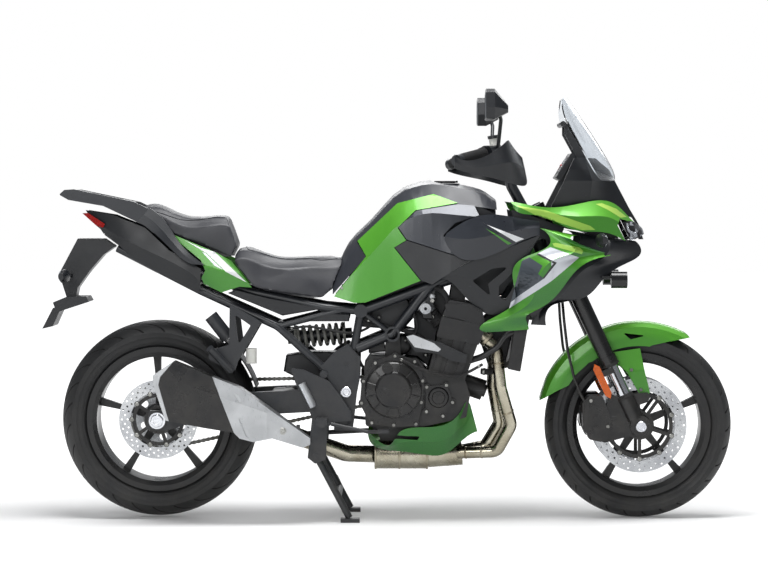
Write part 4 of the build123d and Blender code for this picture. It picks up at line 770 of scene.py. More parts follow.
def piece_from(heap, name, material, body, degrees=35.0):
    """One piece from a heap: smooth where faces meet gently, riding on its body."""
    mesh = bpy.data.meshes.new(name)
    mesh.from_pydata([tuple(MM * part for part in point) for point in heap.points], [], heap.faces)
    work = bmesh.new()
    work.from_mesh(mesh)
    bmesh.ops.recalc_face_normals(work, faces=work.faces)
    work.to_mesh(mesh)
    work.free()
    mesh.shade_smooth()
    mesh.set_sharp_from_angle(angle=math.radians(degrees))
    mesh.materials.append(material)
    piece = bpy.data.objects.new(name, mesh)
    bpy.context.scene.collection.objects.link(piece)
    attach(piece, body)
    print(name, "has", len(mesh.polygons), "faces")
    return piece


# %% Turned and bent forms
def across(axis):
    """Two directions square to an axis."""
    axis = Vector(axis).normalized()
    first = axis.orthogonal().normalized()
    return axis, first, axis.cross(first)


def turned(heap, place, axis, profile, sides=18, six=()):
    """A lathe form: the profile gives (radius, height) up the axis. Rows listed in six are hexagons."""
    axis, first, second = across(axis)
    place = Vector(place)
    rows = []
    for index, (radius, height) in enumerate(profile):
        row = []
        for j in range(sides):
            angle = 2 * math.pi * j / sides
            reach = radius
            if index in six:
                reach = radius / math.cos((angle + math.pi / 6) % (math.pi / 3) - math.pi / 6)
            row.append(place + axis * height + (first * math.cos(angle) + second * math.sin(angle)) * reach)
        rows.append(row)
    heap.skin(rows)


def bent(heap, path, radius, sides=10):
    """A round bar along a path of points."""
    path = [Vector(point) for point in path]
    ahead = (path[1] - path[0]).normalized()
    first = ahead.orthogonal().normalized()
    rows = []
    for index, point in enumerate(path):
        before = path[max(index - 1, 0)]
        after = path[min(index + 1, len(path) - 1)]
        ahead = (after - before).normalized()
        first = (first - ahead * first.dot(ahead)).normalized()
        second = ahead.cross(first)
        rows.append(
            [
                point + (first * math.cos(angle) + second * math.sin(angle)) * radius
                for angle in (2 * math.pi * j / sides for j in range(sides))
            ]
        )
    heap.skin(rows)


def plate(heap, outline, place, first, second, through, thickness):
    """A flat plate: an outline in two directions, given thickness along a third."""
    place, first, second, through = (Vector(part) for part in (place, first, second, through))
    flat = [place + first * u + second * v for u, v in outline]
    heap.skin([flat, [point + through * thickness for point in flat]])


print("piece helpers ready")

# %% [markdown]
# ### Finding a surface
#
# Screws and stripes must lie on the solid piece that carries them. A ray sent in from the side
# finds the exact point and the way that the surface faces there.


# %% Surface finder
FINDERS = {}


def surface(node, start, direction):
    """Where a ray first meets a solid piece, in millimetres, and the normal there."""
    if node not in FINDERS:
        mesh = nodes[node].data
        FINDERS[node] = BVHTree.FromPolygons(
            [vertex.co for vertex in mesh.vertices], [tuple(face.vertices) for face in mesh.polygons]
        )
    hit, normal, _, _ = FINDERS[node].ray_cast(Vector(start) * MM, Vector(direction))
    if hit is None:
        return None, None
    if normal.dot(Vector(direction)) > 0:
        normal = -normal
    return hit / MM, normal


def beside(node, x, z, side):
    """The outermost point of a piece at a place in the side view; side is -1 for the right."""
    return surface(node, (x, side * 600, z), (0, -side, 0))


print("surface finder ready")

# %% [markdown]
# ## Tyres
#
# A road tyre is a rounded ring of rubber with slanting grooves on both shoulders, a smooth band
# in the middle, and thin raised rings on its sides. Grooves cut by a boolean leave long thin
# triangles, so here the grid itself leans: its columns follow the curve of a groove, two of
# them are pushed down to make the floor, and the groove's edges stay crisp. The faces in and
# beside each cut get a darker rubber: painted shade in the grooves.

# %% Tyre sections
RIM_RADIUS = 224.0
BEAD_RADIUS = 214.0
GROOVE_DEPTH = 4.5
PITCH_SHARES = (
    0, 0.08, 0.14, 0.16, 0.225, 0.245, 0.32, 0.41, 0.5, 0.58, 0.64, 0.66, 0.725, 0.745, 0.82, 0.91
)
FLOOR_COLUMNS = {1: (3, 4), -1: (11, 12)}
SLASH_COLUMNS = {1: (11, 12), -1: (3, 4)}


def tyre_section(radius, width, rim_width, crown_rows):
    """The outer section from bead to bead as (y, r), and how far along the crown each row is."""
    half = width / 2
    shoulder = radius - 0.21 * width
    drop = radius - shoulder
    arc = (half * half + drop * drop) / (2 * drop)
    spread = math.asin(min(1.0, half / arc))
    seat = rim_width / 2 - 7.5
    side = [
        (seat - 11.5, BEAD_RADIUS + 1),
        (seat - 0.4, BEAD_RADIUS + 1),
        (seat - 0.4, RIM_RADIUS + 6.2),
        (half - 9.5, RIM_RADIUS + 13),
        (half - 7, RIM_RADIUS + 18),
        (half - 5.4, RIM_RADIUS + 20.5),
        (half - 5.2, RIM_RADIUS + 23),
        (half - 4.4, RIM_RADIUS + 23.6),
        (half - 4.2, RIM_RADIUS + 25.6),
        (half - 4.2, RIM_RADIUS + 26.4),
        (half - 1.9, shoulder - 15),
        (half - 1.2, shoulder - 14),
        (half - 1.2, shoulder - 11.5),
        (half - 0.9, shoulder - 6),
    ]
    rows = [(y, r, 2.0) for y, r in side]
    for i in range(crown_rows + 1):
        share = 1 - 2 * i / crown_rows
        angle = share * spread
        rows.append((arc * math.sin(angle), radius - arc + arc * math.cos(angle), share))
    rows += [(-y, r, -2.0) for y, r in reversed(side)]
    rows += [
        (-half + 14, RIM_RADIUS + 30, -2.0), (0, radius - 15, -2.0), (half - 14, RIM_RADIUS + 30, -2.0)
    ]
    return rows


def groove_depth(share, column, long_from, long_to, depth):
    """How deep the tread is cut at one grid point."""
    side = 1 if share > 0 else -1
    off = abs(share)
    if column in FLOOR_COLUMNS[side] and long_from < off < long_to:
        return depth
    if column in SLASH_COLUMNS[side] and long_from * 0.45 < off < long_from * 0.95:
        return depth * 0.8
    return 0.0


def road_tyre(name, node, axle, radius, width, rim_width, pitches, lean, span, body):
    """A tyre as a leaning grid; lean is how far a groove runs round, as a share of a turn."""
    rows = tyre_section(radius, width, rim_width, 44)
    heap = Heap()
    skin_rows = []
    cut_points = set()
    for row, (y, r, share) in enumerate(rows):
        off = min(abs(share), 1.0)
        turn = lean * (1 - (1 - off) ** 1.7)
        ring = []
        for pitch in range(pitches):
            for column, part in enumerate(PITCH_SHARES):
                angle = 2 * math.pi * ((pitch + part) / pitches + turn)
                cut = 0.0
                if abs(share) <= 1:
                    cut = groove_depth(share, column, span[0], span[1], GROOVE_DEPTH)
                if cut:
                    cut_points.add((row, len(ring)))
                reach = r - cut
                ring.append((axle[0] + reach * math.cos(angle), y, axle[1] + reach * math.sin(angle)))
        skin_rows.append(ring)
    heap.skin(skin_rows, loop=True)
    piece = piece_from(heap, name, tyre_rubber, body, degrees=28.0)
    # The cut faces and their neighbours take the darker rubber: painted shade in the grooves.
    piece.data.materials.append(painted_groove_shade)
    around = pitches * len(PITCH_SHARES)
    for row, column in cut_points:
        piece.data.polygons[row * around + column].material_index = 1
        piece.data.polygons[row * around + (column - 1) % around].material_index = 1
    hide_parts(node)
    return piece


# %% Both tyres
road_tyre(
    "front_road_tyre",
    "front_tyre",
    FRONT_AXLE,
    299.0,
    120.0,
    104.0,
    30,
    -0.035,
    (0.5, 0.93),
    "front_wheel",
)
road_tyre(
    "rear_road_tyre",
    "rear_tyre",
    REAR_AXLE,
    313.0,
    180.0,
    156.0,
    26,
    -0.095,
    (0.24, 0.93),
    "rear_wheel",
)

# %% [markdown]
# ## The drive chain and the sprocket's teeth
#
# A roller chain is two kinds of link that take turns: inner plates with rollers, and outer
# plates with pins. The links are placed by walking round both sprockets, one pitch at a time.
# The rear sprocket gets a tooth for every pitch, which also fixes its real radius.

# %% Chain path
CHAIN_Y = 103.0
PLATE_RADIUS = 6.3
PLATE_WAIST = 4.3
BIG = (REAR_AXLE, 109.0)
SMALL = ((-40.0, 400.0), 42.0)
LINKS = 118


def chain_path():
    """The closed line round both sprockets as short straight steps, in the side view."""
    (x1, z1), big = BIG
    (x2, z2), small = SMALL
    base = math.atan2(z2 - z1, x2 - x1)
    wrap = math.acos((big - small) / math.hypot(x2 - x1, z2 - z1))
    line = []
    for i in range(121):
        angle = base + wrap + (2 * math.pi - 2 * wrap) * i / 120
        line.append(Vector((x1 + big * math.cos(angle), z1 + big * math.sin(angle))))
    for i in range(61):
        angle = base - wrap + 2 * wrap * i / 60
        line.append(Vector((x2 + small * math.cos(angle), z2 + small * math.sin(angle))))
    return line + line[:1]


def walk(line, count):
    """Points at equal distances along a line."""
    lengths = [0.0]
    for a, b in zip(line, line[1:]):
        lengths.append(lengths[-1] + (b - a).length)
    found = []
    index = 0
    for i in range(count):
        want = lengths[-1] * i / count
        while lengths[index + 1] < want:
            index += 1
        share = (want - lengths[index]) / (lengths[index + 1] - lengths[index])
        found.append(line[index].lerp(line[index + 1], share))
    return found


pins = walk(chain_path(), LINKS)
print("chain pitch", round((pins[1] - pins[0]).length, 2), "mm")

# %% Chain links
links = Heap()
for i, pin in enumerate(pins):
    after = pins[(i + 1) % LINKS]
    along = (after - pin).normalized()
    up = Vector((-along.y, along.x))
    outline = []
    for centre, turn in ((pin, math.pi / 2), (after, -math.pi / 2)):
        for step in range(7):
            angle = turn + math.pi * (step + 0.35) / 6.7
            round_end = along * PLATE_RADIUS * math.cos(angle) + up * PLATE_RADIUS * math.sin(angle)
            outline.append(centre + round_end)
        waist = (pin + after) / 2 + up * (-PLATE_WAIST if turn > 0 else PLATE_WAIST)
        outline.append(waist)
    inner, outer = (3.6, 5.2) if i % 2 else (5.4, 7.0)
    for near, far in ((inner, outer), (-outer, -inner)):
        links.skin([[(p.x, CHAIN_Y + y, p.y) for p in outline] for y in (near, far)])
    turned(
        links,
        (pin.x, CHAIN_Y - 7.9, pin.y),
        (0, 1, 0),
        [(2.4, 0), (2.6, 0.4), (2.6, 15.4), (2.4, 15.8)],
        8,
    )
    turned(links, (pin.x, CHAIN_Y - 3.5, pin.y), (0, 1, 0), [(5.0, 0), (5.0, 7.0)], 10)
drive_chain = piece_from(links, "drive_chain", chain_steel, "chassis")
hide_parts("chain")

# %% Sprocket teeth
TEETH = 43
TOOTH_ROOT = 93.0
TOOTH_HALF = 2.9
teeth = Heap()
outer_line = []
inner_line = []
for tooth in range(TEETH):
    for share, reach in (
        (0.0, 103.4), (0.18, 103.6), (0.36, 109.0), (0.46, 113.2), (0.54, 113.2), (0.64, 109.0),
        (0.82, 103.6),
    ):
        angle = 2 * math.pi * (tooth + share) / TEETH
        outer_line.append((reach, angle))
        inner_line.append((TOOTH_ROOT, angle))


def about_rear(line, y):
    """Points of a round line at one place across the machine."""
    return [(REAR_AXLE[0] + r * math.cos(a), y, REAR_AXLE[1] + r * math.sin(a)) for r, a in line]


teeth.skin(
    [
        about_rear(inner_line, CHAIN_Y - TOOTH_HALF),
        about_rear(outer_line, CHAIN_Y - TOOTH_HALF),
        about_rear(outer_line, CHAIN_Y + TOOTH_HALF),
        about_rear(inner_line, CHAIN_Y + TOOTH_HALF),
    ],
    loop=True,
)
piece_from(teeth, "sprocket_teeth", disc_steel, "rear_wheel")

# %% [markdown]
# ## Screws and nuts
#
# Bright plated screws stand out on all the black castings. Each head is a small lathe form
# with a six-sided recess, set on the surface that a ray finds, so it never floats or sinks.


# %% Screw heads
def screw(heap, place, normal, radius, tall=None, sink=1.0):
    """A cap screw with a rounded rim and a six-sided recess."""
    tall = tall or radius * 0.8
    profile = [
        (radius, -sink),
        (radius, tall * 0.7),
        (radius * 0.86, tall),
        (radius * 0.5, tall),
        (radius * 0.46, tall * 0.3),
    ]
    turned(heap, place, normal, profile, 18, six=(3, 4))


def washer_screw(heap, place, normal, radius):
    """A flanged screw: a wide washer face under the head."""
    turned(heap, place, normal, [(radius * 1.45, -0.6), (radius * 1.45, 0.9), (radius * 1.3, 1.3)], 20)
    screw(heap, Vector(place) + Vector(normal) * 1.2, normal, radius)


def screws_beside(heap, node, spots, radius, sides=(-1, 1), flanged=False):
    """Screws on the sides of a solid piece at places given in the side view."""
    for side in sides:
        for x, z in spots:
            place, normal = beside(node, x, z, side)
            if place is None:
                print("no surface for a screw on", node, (x, z, side))
                continue
            if abs(normal.y) > 0.8:
                normal = Vector((0, side, 0))
            (washer_screw if flanged else screw)(heap, place, normal, radius)


# %% Screws on the chassis
CLUTCH = (20.0, 419.0)
PULSER = (162.0, 394.0)
CLUTCH_SCREWS = [(-57, 84), (5, 106), (67, 88), (92, 28), (88, -40), (71, -108), (1, -111), (-68, -104)]
CLUTCH_SCREWS += [(-100, -42), (-94, 27)]
PULSER_SCREWS = [(-37, 33), (25, 39), (44, -15), (14, -58), (-38, -44)]
HANGER_SCREWS = [(143, 698), (124, 676), (142, 646), (74, 613), (18, 563)]
chassis_screws = Heap()
around_clutch = [(CLUTCH[0] + x, CLUTCH[1] + z) for x, z in CLUTCH_SCREWS]
around_pulser = [(PULSER[0] + x, PULSER[1] + z) for x, z in PULSER_SCREWS]
screws_beside(chassis_screws, "engine_covers", around_clutch + around_pulser, 5.2, sides=(-1,))
screws_beside(chassis_screws, "frame", HANGER_SCREWS, 7.0)
screws_beside(chassis_screws, "tank_panel", [(-143, 738)], 4.4)
screws_beside(chassis_screws, "silencer_shield", [(-325, 296)], 8.0, sides=(-1,), flanged=True)
piece_from(chassis_screws, "chassis_screws", bolt_steel, "chassis")

# %% Pivot ends
PIVOT_X = -129
PIVOT_Z = 410
pivots = Heap()
for side in (-1, 1):
    place, _ = beside("swingarm", PIVOT_X, PIVOT_Z, side)
    if place is not None:
        turned(
            pivots,
            (PIVOT_X, place.y - side * 1, PIVOT_Z),
            (0, side, 0),
            [(17, 0), (17, 6), (15.5, 7.5), (11, 7.5), (10, 5.5), (9, 5.5), (8.4, 1.2)],
            30,
            six=(5, 6),
        )
piece_from(pivots, "swingarm_pivot_ends", fork_chrome, "chassis")

# %% Screws on the steering
steering_screws = Heap()
screws_beside(steering_screws, "front_fender", [(777, 476), (807, 413)], 5.6)
screws_beside(steering_screws, "front_caliper", [(699, 299), (645, 380), (626, 270)], 6.0)
piece_from(steering_screws, "steering_screws", bolt_steel, "steering")

# %% Axle ends and disc buttons
front_fixings = Heap()
for side in (-1, 1):
    place, _ = beside("fork_legs", FRONT_AXLE[0], FRONT_AXLE[1], side)
    turned(
        front_fixings,
        (FRONT_AXLE[0], place.y - side, FRONT_AXLE[1]),
        (0, side, 0),
        [(17, 0), (17, 4.5), (15.5, 6), (11.5, 6), (11, 2.5)],
        30,
    )
piece_from(front_fixings, "front_axle_ends", fork_chrome, "steering")


def disc_buttons(name, axle, y_places, radius, count, first, body):
    """The bright float buttons between a disc and its carrier."""
    heap = Heap()
    for y, side in y_places:
        for i in range(count):
            angle = math.radians(first + 360.0 * i / count)
            place = (axle[0] + radius * math.cos(angle), y + side * 2.4, axle[1] + radius * math.sin(angle))
            turned(heap, place, (0, side, 0), [(7, -0.5), (7, 0.9), (6, 1.5), (3.4, 1.5), (3, 0.3)], 20)
    return piece_from(heap, name, bolt_steel, body)


both_sides = [(FRONT_DISC_Y, 1), (-FRONT_DISC_Y, -1)]
disc_buttons("front_disc_buttons", FRONT_AXLE, both_sides, 107.0, 10, 18.0, "front_wheel")
disc_buttons("rear_disc_buttons", REAR_AXLE, [(REAR_DISC_Y, -1)], 84.0, 10, 0.0, "rear_wheel")

# %% [markdown]
# ## Seats
#
# Each seat is foam under stretched vinyl: the cover pulls tight over the edges and crowns in
# the middle. A cloth simulation with a little pressure inside gives that swell on the solid's
# own shape. Alone it would leave the cover wrinkled, so the swell is evened out between
# neighbouring points, as the foam does. The seams follow, as thin welts on the finished surface.


# %% Padded seat
VOXEL = 0.006
SHRINK = 0.004
SWELL_CAP = 0.009


def evened(mesh, moves, passes=40):
    """The swell evened out between neighbours, as foam under the cover would hold it."""
    beside_it = [[] for _ in mesh.vertices]
    for edge in mesh.edges:
        a, b = edge.vertices
        beside_it[a].append(b)
        beside_it[b].append(a)
    for _ in range(passes):
        moves = [
            (move + sum((moves[other] for other in others), Vector())) / (1 + len(others))
            for move, others in zip(moves, beside_it)
        ]
    return moves


def seat_pad(node, name, pressure):
    """A cushion in place of a solid seat: remeshed, swollen by cloth, and capped."""
    mesh = nodes[node].data.copy()
    mesh.name = name
    pad = bpy.data.objects.new(name, mesh)
    bpy.context.scene.collection.objects.link(pad)
    bpy.context.view_layer.objects.active = pad
    remesh = pad.modifiers.new("remesh", "REMESH")
    remesh.mode = "VOXEL"
    remesh.voxel_size = VOXEL
    soft = pad.modifiers.new("soft", "SMOOTH")
    soft.iterations = 4
    graph = bpy.context.evaluated_depsgraph_get()
    shaped = bpy.data.meshes.new_from_object(pad.evaluated_get(graph))
    pad.modifiers.clear()
    pad.data = shaped
    shaped.name = name
    for vertex, normal in zip(shaped.vertices, [item.vector.copy() for item in shaped.vertex_normals]):
        vertex.co -= normal * SHRINK
    start = [vertex.co.copy() for vertex in shaped.vertices]
    cloth = pad.modifiers.new("cloth", "CLOTH")
    cloth.settings.use_pressure = True
    cloth.settings.uniform_pressure_force = pressure
    cloth.settings.effector_weights.gravity = 0.0
    cloth.settings.tension_stiffness = 30.0
    cloth.settings.bending_stiffness = 20.0
    for step in range(1, 21):
        bpy.context.scene.frame_set(step)
    graph = bpy.context.evaluated_depsgraph_get()
    swollen = bpy.data.meshes.new_from_object(pad.evaluated_get(graph))
    pad.modifiers.clear()
    bpy.context.scene.frame_set(1)
    moves = [after.co - before for before, after in zip(start, swollen.vertices)]
    for vertex, before, move in zip(shaped.vertices, start, evened(shaped, moves)):
        if move.length > SWELL_CAP:
            move = move.normalized() * SWELL_CAP
        vertex.co = before + move
    bpy.data.meshes.remove(swollen)
    shaped.materials.clear()
    shaped.materials.append(seat_vinyl)
    shaped.shade_smooth()
    pad.modifiers.new("fine", "SUBSURF").levels = 1
    pad.modifiers["fine"].render_levels = 1
    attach(pad, "chassis")
    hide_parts(node)
    print(name, "has", len(shaped.polygons), "faces before the last subdivision")
    return pad


rider_pad = seat_pad("rider_seat", "rider_seat_pad", 4.0)
pillion_pad = seat_pad("pillion_seat", "pillion_seat_pad", 4.0)


# %% Seat seams
def welt(heap, pad, plan, radius=1.5):
    """A thin piped seam laid on a pad along a line given from above."""
    tree = BVHTree.FromPolygons(
        [vertex.co for vertex in pad.data.vertices], [tuple(face.vertices) for face in pad.data.polygons]
    )
    line = []
    for (x1, y1), (x2, y2) in zip(plan, plan[1:]):
        steps = max(2, int(math.hypot(x2 - x1, y2 - y1) / 8))
        for i in range(steps):
            x = x1 + (x2 - x1) * i / steps
            y = y1 + (y2 - y1) * i / steps
            hit, _, _, _ = tree.ray_cast(Vector((x * MM, y * MM, 1.2)), Vector((0, 0, -1)))
            if hit is not None:
                line.append(hit / MM + Vector((0, 0, 0.3)))
    if len(line) > 3:
        bent(heap, line, radius, 8)


seams = Heap()
for side in (-1, 1):
    welt(seams, rider_pad, [(-440, side * 82), (-330, side * 86), (-210, side * 78), (-150, side * 58)])
    welt(seams, pillion_pad, [(-780, side * 78), (-660, side * 90), (-560, side * 92), (-500, side * 78)])
welt(seams, pillion_pad, [(-500, -78), (-496, 0), (-500, 78)])
welt(seams, rider_pad, [(-440, -82), (-452, 0), (-440, 82)])
piece_from(seams, "seat_seams", seat_vinyl, "chassis")

# %% [markdown]
# ## Stripes and colour fields
#
# The printed stripes lie on curved panels, and the lime bands on the top edges of the green
# cowls are painted highlights laid on the same way. Each is cut as a flat outline in the side
# view, divided into small cells, and every point is then sent sideways onto the panel by a ray.
# The sheet gets its own thickness, so it is a real film on the paint and keeps a crisp edge.


# %% Film on a panel
CELL = 5.0
FILM = 0.35


def film(name, node, outline, material, slot, sides=(-1, 1), proud=FILM):
    """A thin film on a panel, given by its outline in the side view; it carries printed stripes and also
    painted highlights.
    """
    flat = bmesh.new()
    flat.faces.new([flat.verts.new((x, 0, z)) for x, z in outline])
    bmesh.ops.triangulate(flat, faces=flat.faces)
    for _ in range(8):
        long_edges = [edge for edge in flat.edges if edge.calc_length() > CELL]
        if not long_edges:
            break
        bmesh.ops.subdivide_edges(flat, edges=long_edges, cuts=1)
        bmesh.ops.triangulate(flat, faces=flat.faces)
    flat.verts.index_update()
    spots = [(vert.co.x, vert.co.z) for vert in flat.verts]
    cells = [[vert.index for vert in face.verts] for face in flat.faces]
    rim = [[vert.index for vert in edge.verts] for edge in flat.edges if edge.is_boundary]
    flat.free()
    heap = Heap()
    for side in sides:
        places = []
        for x, z in spots:
            place, normal = beside(node, x, z, side)
            places.append((place, normal))
        known = [place.y for place, _ in places if place is not None]
        middle = sum(known) / len(known)
        lower, upper = [], []
        for (x, z), (place, normal) in zip(spots, places):
            if place is None or abs(place.y - middle) > 60:
                place, normal = Vector((x, middle, z)), Vector((0, side, 0))
            lower.append(tuple(place - normal * 0.3))
            upper.append(tuple(place + normal * proud))
        start = len(heap.points)
        count = len(spots)
        heap.points += upper + lower
        heap.faces += [tuple(start + i for i in cell) for cell in cells]
        heap.faces += [tuple(start + count + i for i in reversed(cell)) for cell in cells]
        heap.faces += [(start + a, start + b, start + count + b, start + count + a) for a, b in rim]
    return piece_from(heap, name, material, "chassis", degrees=40.0)


# %% Side cowl stripes
SILVER_BAND = [
    (472.6, 848.9),
    (511.2, 868.5),
    (601.2, 835.8),
    (514.6, 763.1),
    (380.4, 673.7),
    (387.4, 696.9),
    (490.0, 770.7),
    (529.1, 819.9),
]
INK_LINE = [(467.5, 845.4), (472.6, 849.4), (530.0, 820.0), (490.5, 770.0), (486.8, 772.9), (519.6, 818.2)]
SLATE_FIELD = [
    (422.3, 824.6),
    (445.5, 836.6),
    (485.8, 810.6),
    (469.8, 781.3),
    (404.2, 715.6),
    (487.6, 772.4),
    (490.0, 770.7),
    (387.4, 696.9),
]
# These films are lacquers, so each one is painted darker on the faces that turn down: painted shade.
silver_film = lacquer("silver_film", tone(205, 208, 214), tone(186, 190, 196), metallic=0.5, flake=0.1)
ink_film = lacquer("ink_film", INK, INK, metallic=0.0, flake=0.0)
slate_film = lacquer("slate_film", tone(72, 80, 88), tone(56, 63, 70), metallic=0.3, flake=0.1)
# Lime for the painted highlights on the upward edges of the green cowls.
lime_painted_highlight = lacquer("lime_painted_highlight", tone(172, 210, 92), tone(120, 176, 60), flake=0.1)
white_film = lacquer("white_film", tone(236, 238, 238), tone(220, 222, 224), metallic=0.0, flake=0.0)
film("side_cowl_silver_band", "side_cowl", SILVER_BAND, silver_film, "green_paint")
film("side_cowl_black_line", "side_cowl", INK_LINE, ink_film, "green_paint", proud=0.7)
film("side_cowl_slate_field", "side_cowl", SLATE_FIELD, slate_film, "green_paint")

# %% Panel stripes
WHITE_STRIPE = [(299, 947), (314, 938), (429, 894), (404, 884)]
THIN_STRIPE = [(308, 928), (390, 880), (379, 876)]
film("gloss_panel_white_stripe", "gloss_panel", WHITE_STRIPE, white_film, "black_gloss")
film("gloss_panel_green_stripe", "gloss_panel", THIN_STRIPE, green_paint, "black_gloss")
SLIDER_FACE = [(60.7, 588.9), (81.7, 594.2), (146.5, 567.9), (168.9, 548.6), (159.9, 541.0), (86.2, 555.3)]
film("slider_pale_face", "slider_bar", SLIDER_FACE, shield_metal, "slider_face")
TAIL_WHITE = [(-640, 889), (-586, 864), (-545, 853), (-442, 756), (-507, 789), (-570, 848)]
TAIL_SILVER = [(-584, 852), (-574, 849), (-519, 797), (-543, 808)]
film("tail_panel_silver_sliver", "tail_panel", TAIL_SILVER, silver_film, "green_paint")
film("tail_panel_white_wedge", "tail_panel", TAIL_WHITE, white_film, "green_paint")
# Painted highlights: lime films on the upward edges and a shoulder facet of the cowls, where light falls on
# the green.
PALE_HIGHLIGHT_BAND = [(404, 999), (496, 984), (640, 934), (655, 922), (614, 921), (462, 970)]
film("upper_cowl_pale_band", "upper_cowl", PALE_HIGHLIGHT_BAND, lime_painted_highlight, "green_paint")
CREST_HIGHLIGHT_BAND = [(660, 1003), (680, 1006), (728, 988), (764, 962), (740, 960), (700, 984)]
film("upper_cowl_crest_band", "upper_cowl", CREST_HIGHLIGHT_BAND, lime_painted_highlight, "green_paint")
SHOULDER_HIGHLIGHT = [(518, 880), (528, 882), (603, 867), (614, 856), (610, 846), (522, 871)]
film("side_cowl_shoulder_facet", "side_cowl", SHOULDER_HIGHLIGHT, lime_painted_highlight, "green_paint")

# %% [markdown]
# ## Grips, mirrors and meter
#
# The grips are soft rubber sleeves with ribs, the mirrors carry a slightly sunk glass, and the
# meter has a round rev dial with plain ticks and a needle beside a dark display.

# %% Rubber grips
grips = Heap()
inner_end, outer_end = Vector((297, 304, 1159)), Vector((222, 420, 1138))
along = (outer_end - inner_end).normalized()
grip_length = (outer_end - inner_end).length
profile = [(16.0, 1.0), (21.0, 1.0), (21.0, 5.0), (17.6, 7.0)]
reach = 9.0
while reach < grip_length - 8:
    profile += [(17.4, reach), (18.7, reach + 0.8), (18.7, reach + 2.4), (17.4, reach + 3.2)]
    reach += 4.6
profile += [(18.6, grip_length - 4), (18.6, grip_length - 1), (16.0, grip_length - 1)]
turned(grips, inner_end, along, profile, 26)
grips.twin()
piece_from(grips, "rubber_grips", grip_rubber, "steering")

# %% Mirror glass
MIRROR_LINE = [(318, 1262), (436, 1266), (446, 1300), (434, 1346), (390, 1358), (322, 1340), (308, 1300)]
MIRROR_MIDDLE = (378.0, 1308.0)


def mirror_ring(x, scale):
    """The mirror's outline at one depth, scaled about its middle."""
    cy, cz = MIRROR_MIDDLE
    return [(x, cy + scale * (y - cy), cz + scale * (z - cz)) for y, z in MIRROR_LINE]


glass = Heap()
glass.skin([mirror_ring(304.6, 0.9), mirror_ring(303.4, 0.9), mirror_ring(303.1, 0.87)])
glass.twin()
piece_from(glass, "mirror_glass", mirror_face, "steering")
frames = Heap()
frames.skin(
    [
        mirror_ring(304.5, 0.9),
        mirror_ring(302.6, 0.91),
        mirror_ring(302.2, 0.95),
        mirror_ring(304.5, 0.995),
    ],
    loop=True,
)
frames.twin()
piece_from(frames, "mirror_surround", moulded_black, "steering")

# %% Meter face
METER_TOP, METER_LOW = Vector((586, 0, 1166)), Vector((536, 0, 1086))
up_face = (METER_TOP - METER_LOW).normalized()
out_face = Vector((-up_face.z, 0, up_face.x))
middle = (METER_TOP + METER_LOW) / 2
across_face = Vector((0, 1, 0))


def on_meter(u, v, lift):
    """A point on the meter: u to the rider's right, v up its face, lift towards the rider."""
    return middle - across_face * u + up_face * v + out_face * lift


def meter_block(heap, outline, low, high):
    """A flat shape on the meter's face."""
    heap.skin([[on_meter(u, v, low) for u, v in outline], [on_meter(u, v, high) for u, v in outline]])


def round_line(cu, cv, radius, count=40):
    """A circle on the meter's face."""
    step = 2 * math.pi / count
    return [(cu + radius * math.cos(step * i), cv + radius * math.sin(step * i)) for i in range(count)]


screen = Heap()
DIAL_U = -38
meter_block(screen, round_line(DIAL_U, 0, 36), -0.5, 1.0)
meter_block(screen, [(4, -30), (76, -30), (76, 30), (4, 30)], -0.5, 1.0)
piece_from(screen, "meter_screens", meter_glass, "chassis")
marks = Heap()
for i in range(25):
    angle = math.radians(225 - 270 * i / 24)
    inner = 26.0 if i % 2 == 0 else 29.0
    wide = 0.9 if i % 2 == 0 else 0.5
    direction = Vector((math.cos(angle), math.sin(angle)))
    beside_it = Vector((-direction.y, direction.x)) * wide
    centre = Vector((DIAL_U, 0))
    corners = [centre + direction * inner - beside_it, centre + direction * 33 - beside_it]
    corners += [centre + direction * 33 + beside_it, centre + direction * inner + beside_it]
    meter_block(marks, [tuple(corner) for corner in corners], 0.8, 1.3)
for i in range(6):
    meter_block(
        marks,
        [(10, -22 + 8 * i), (30 + 5 * i, -22 + 8 * i), (30 + 5 * i, -19 + 8 * i), (10, -19 + 8 * i)],
        0.8,
        1.2,
    )
piece_from(marks, "meter_marks", pale_ink, "chassis")
needle = Heap()
meter_block(needle, [(-39, -1), (-58, -20), (-57, -21), (-37, 1)], 1.4, 2.2)
turned(needle, on_meter(DIAL_U, 0, 1.0), out_face, [(4.5, 0), (4.5, 2.2), (3.6, 3.0)], 20)
piece_from(needle, "meter_needle", red_lens, "chassis")

# %% [markdown]
# ## Radiator, welds and fork seals
#
# The radiator's core is flat tubes with folded fins between them. The header pipes are bent
# in sections, and each joint leaves a small raised weld ring. Where the chromed fork tube goes
# into its casting there is a rubber seal.

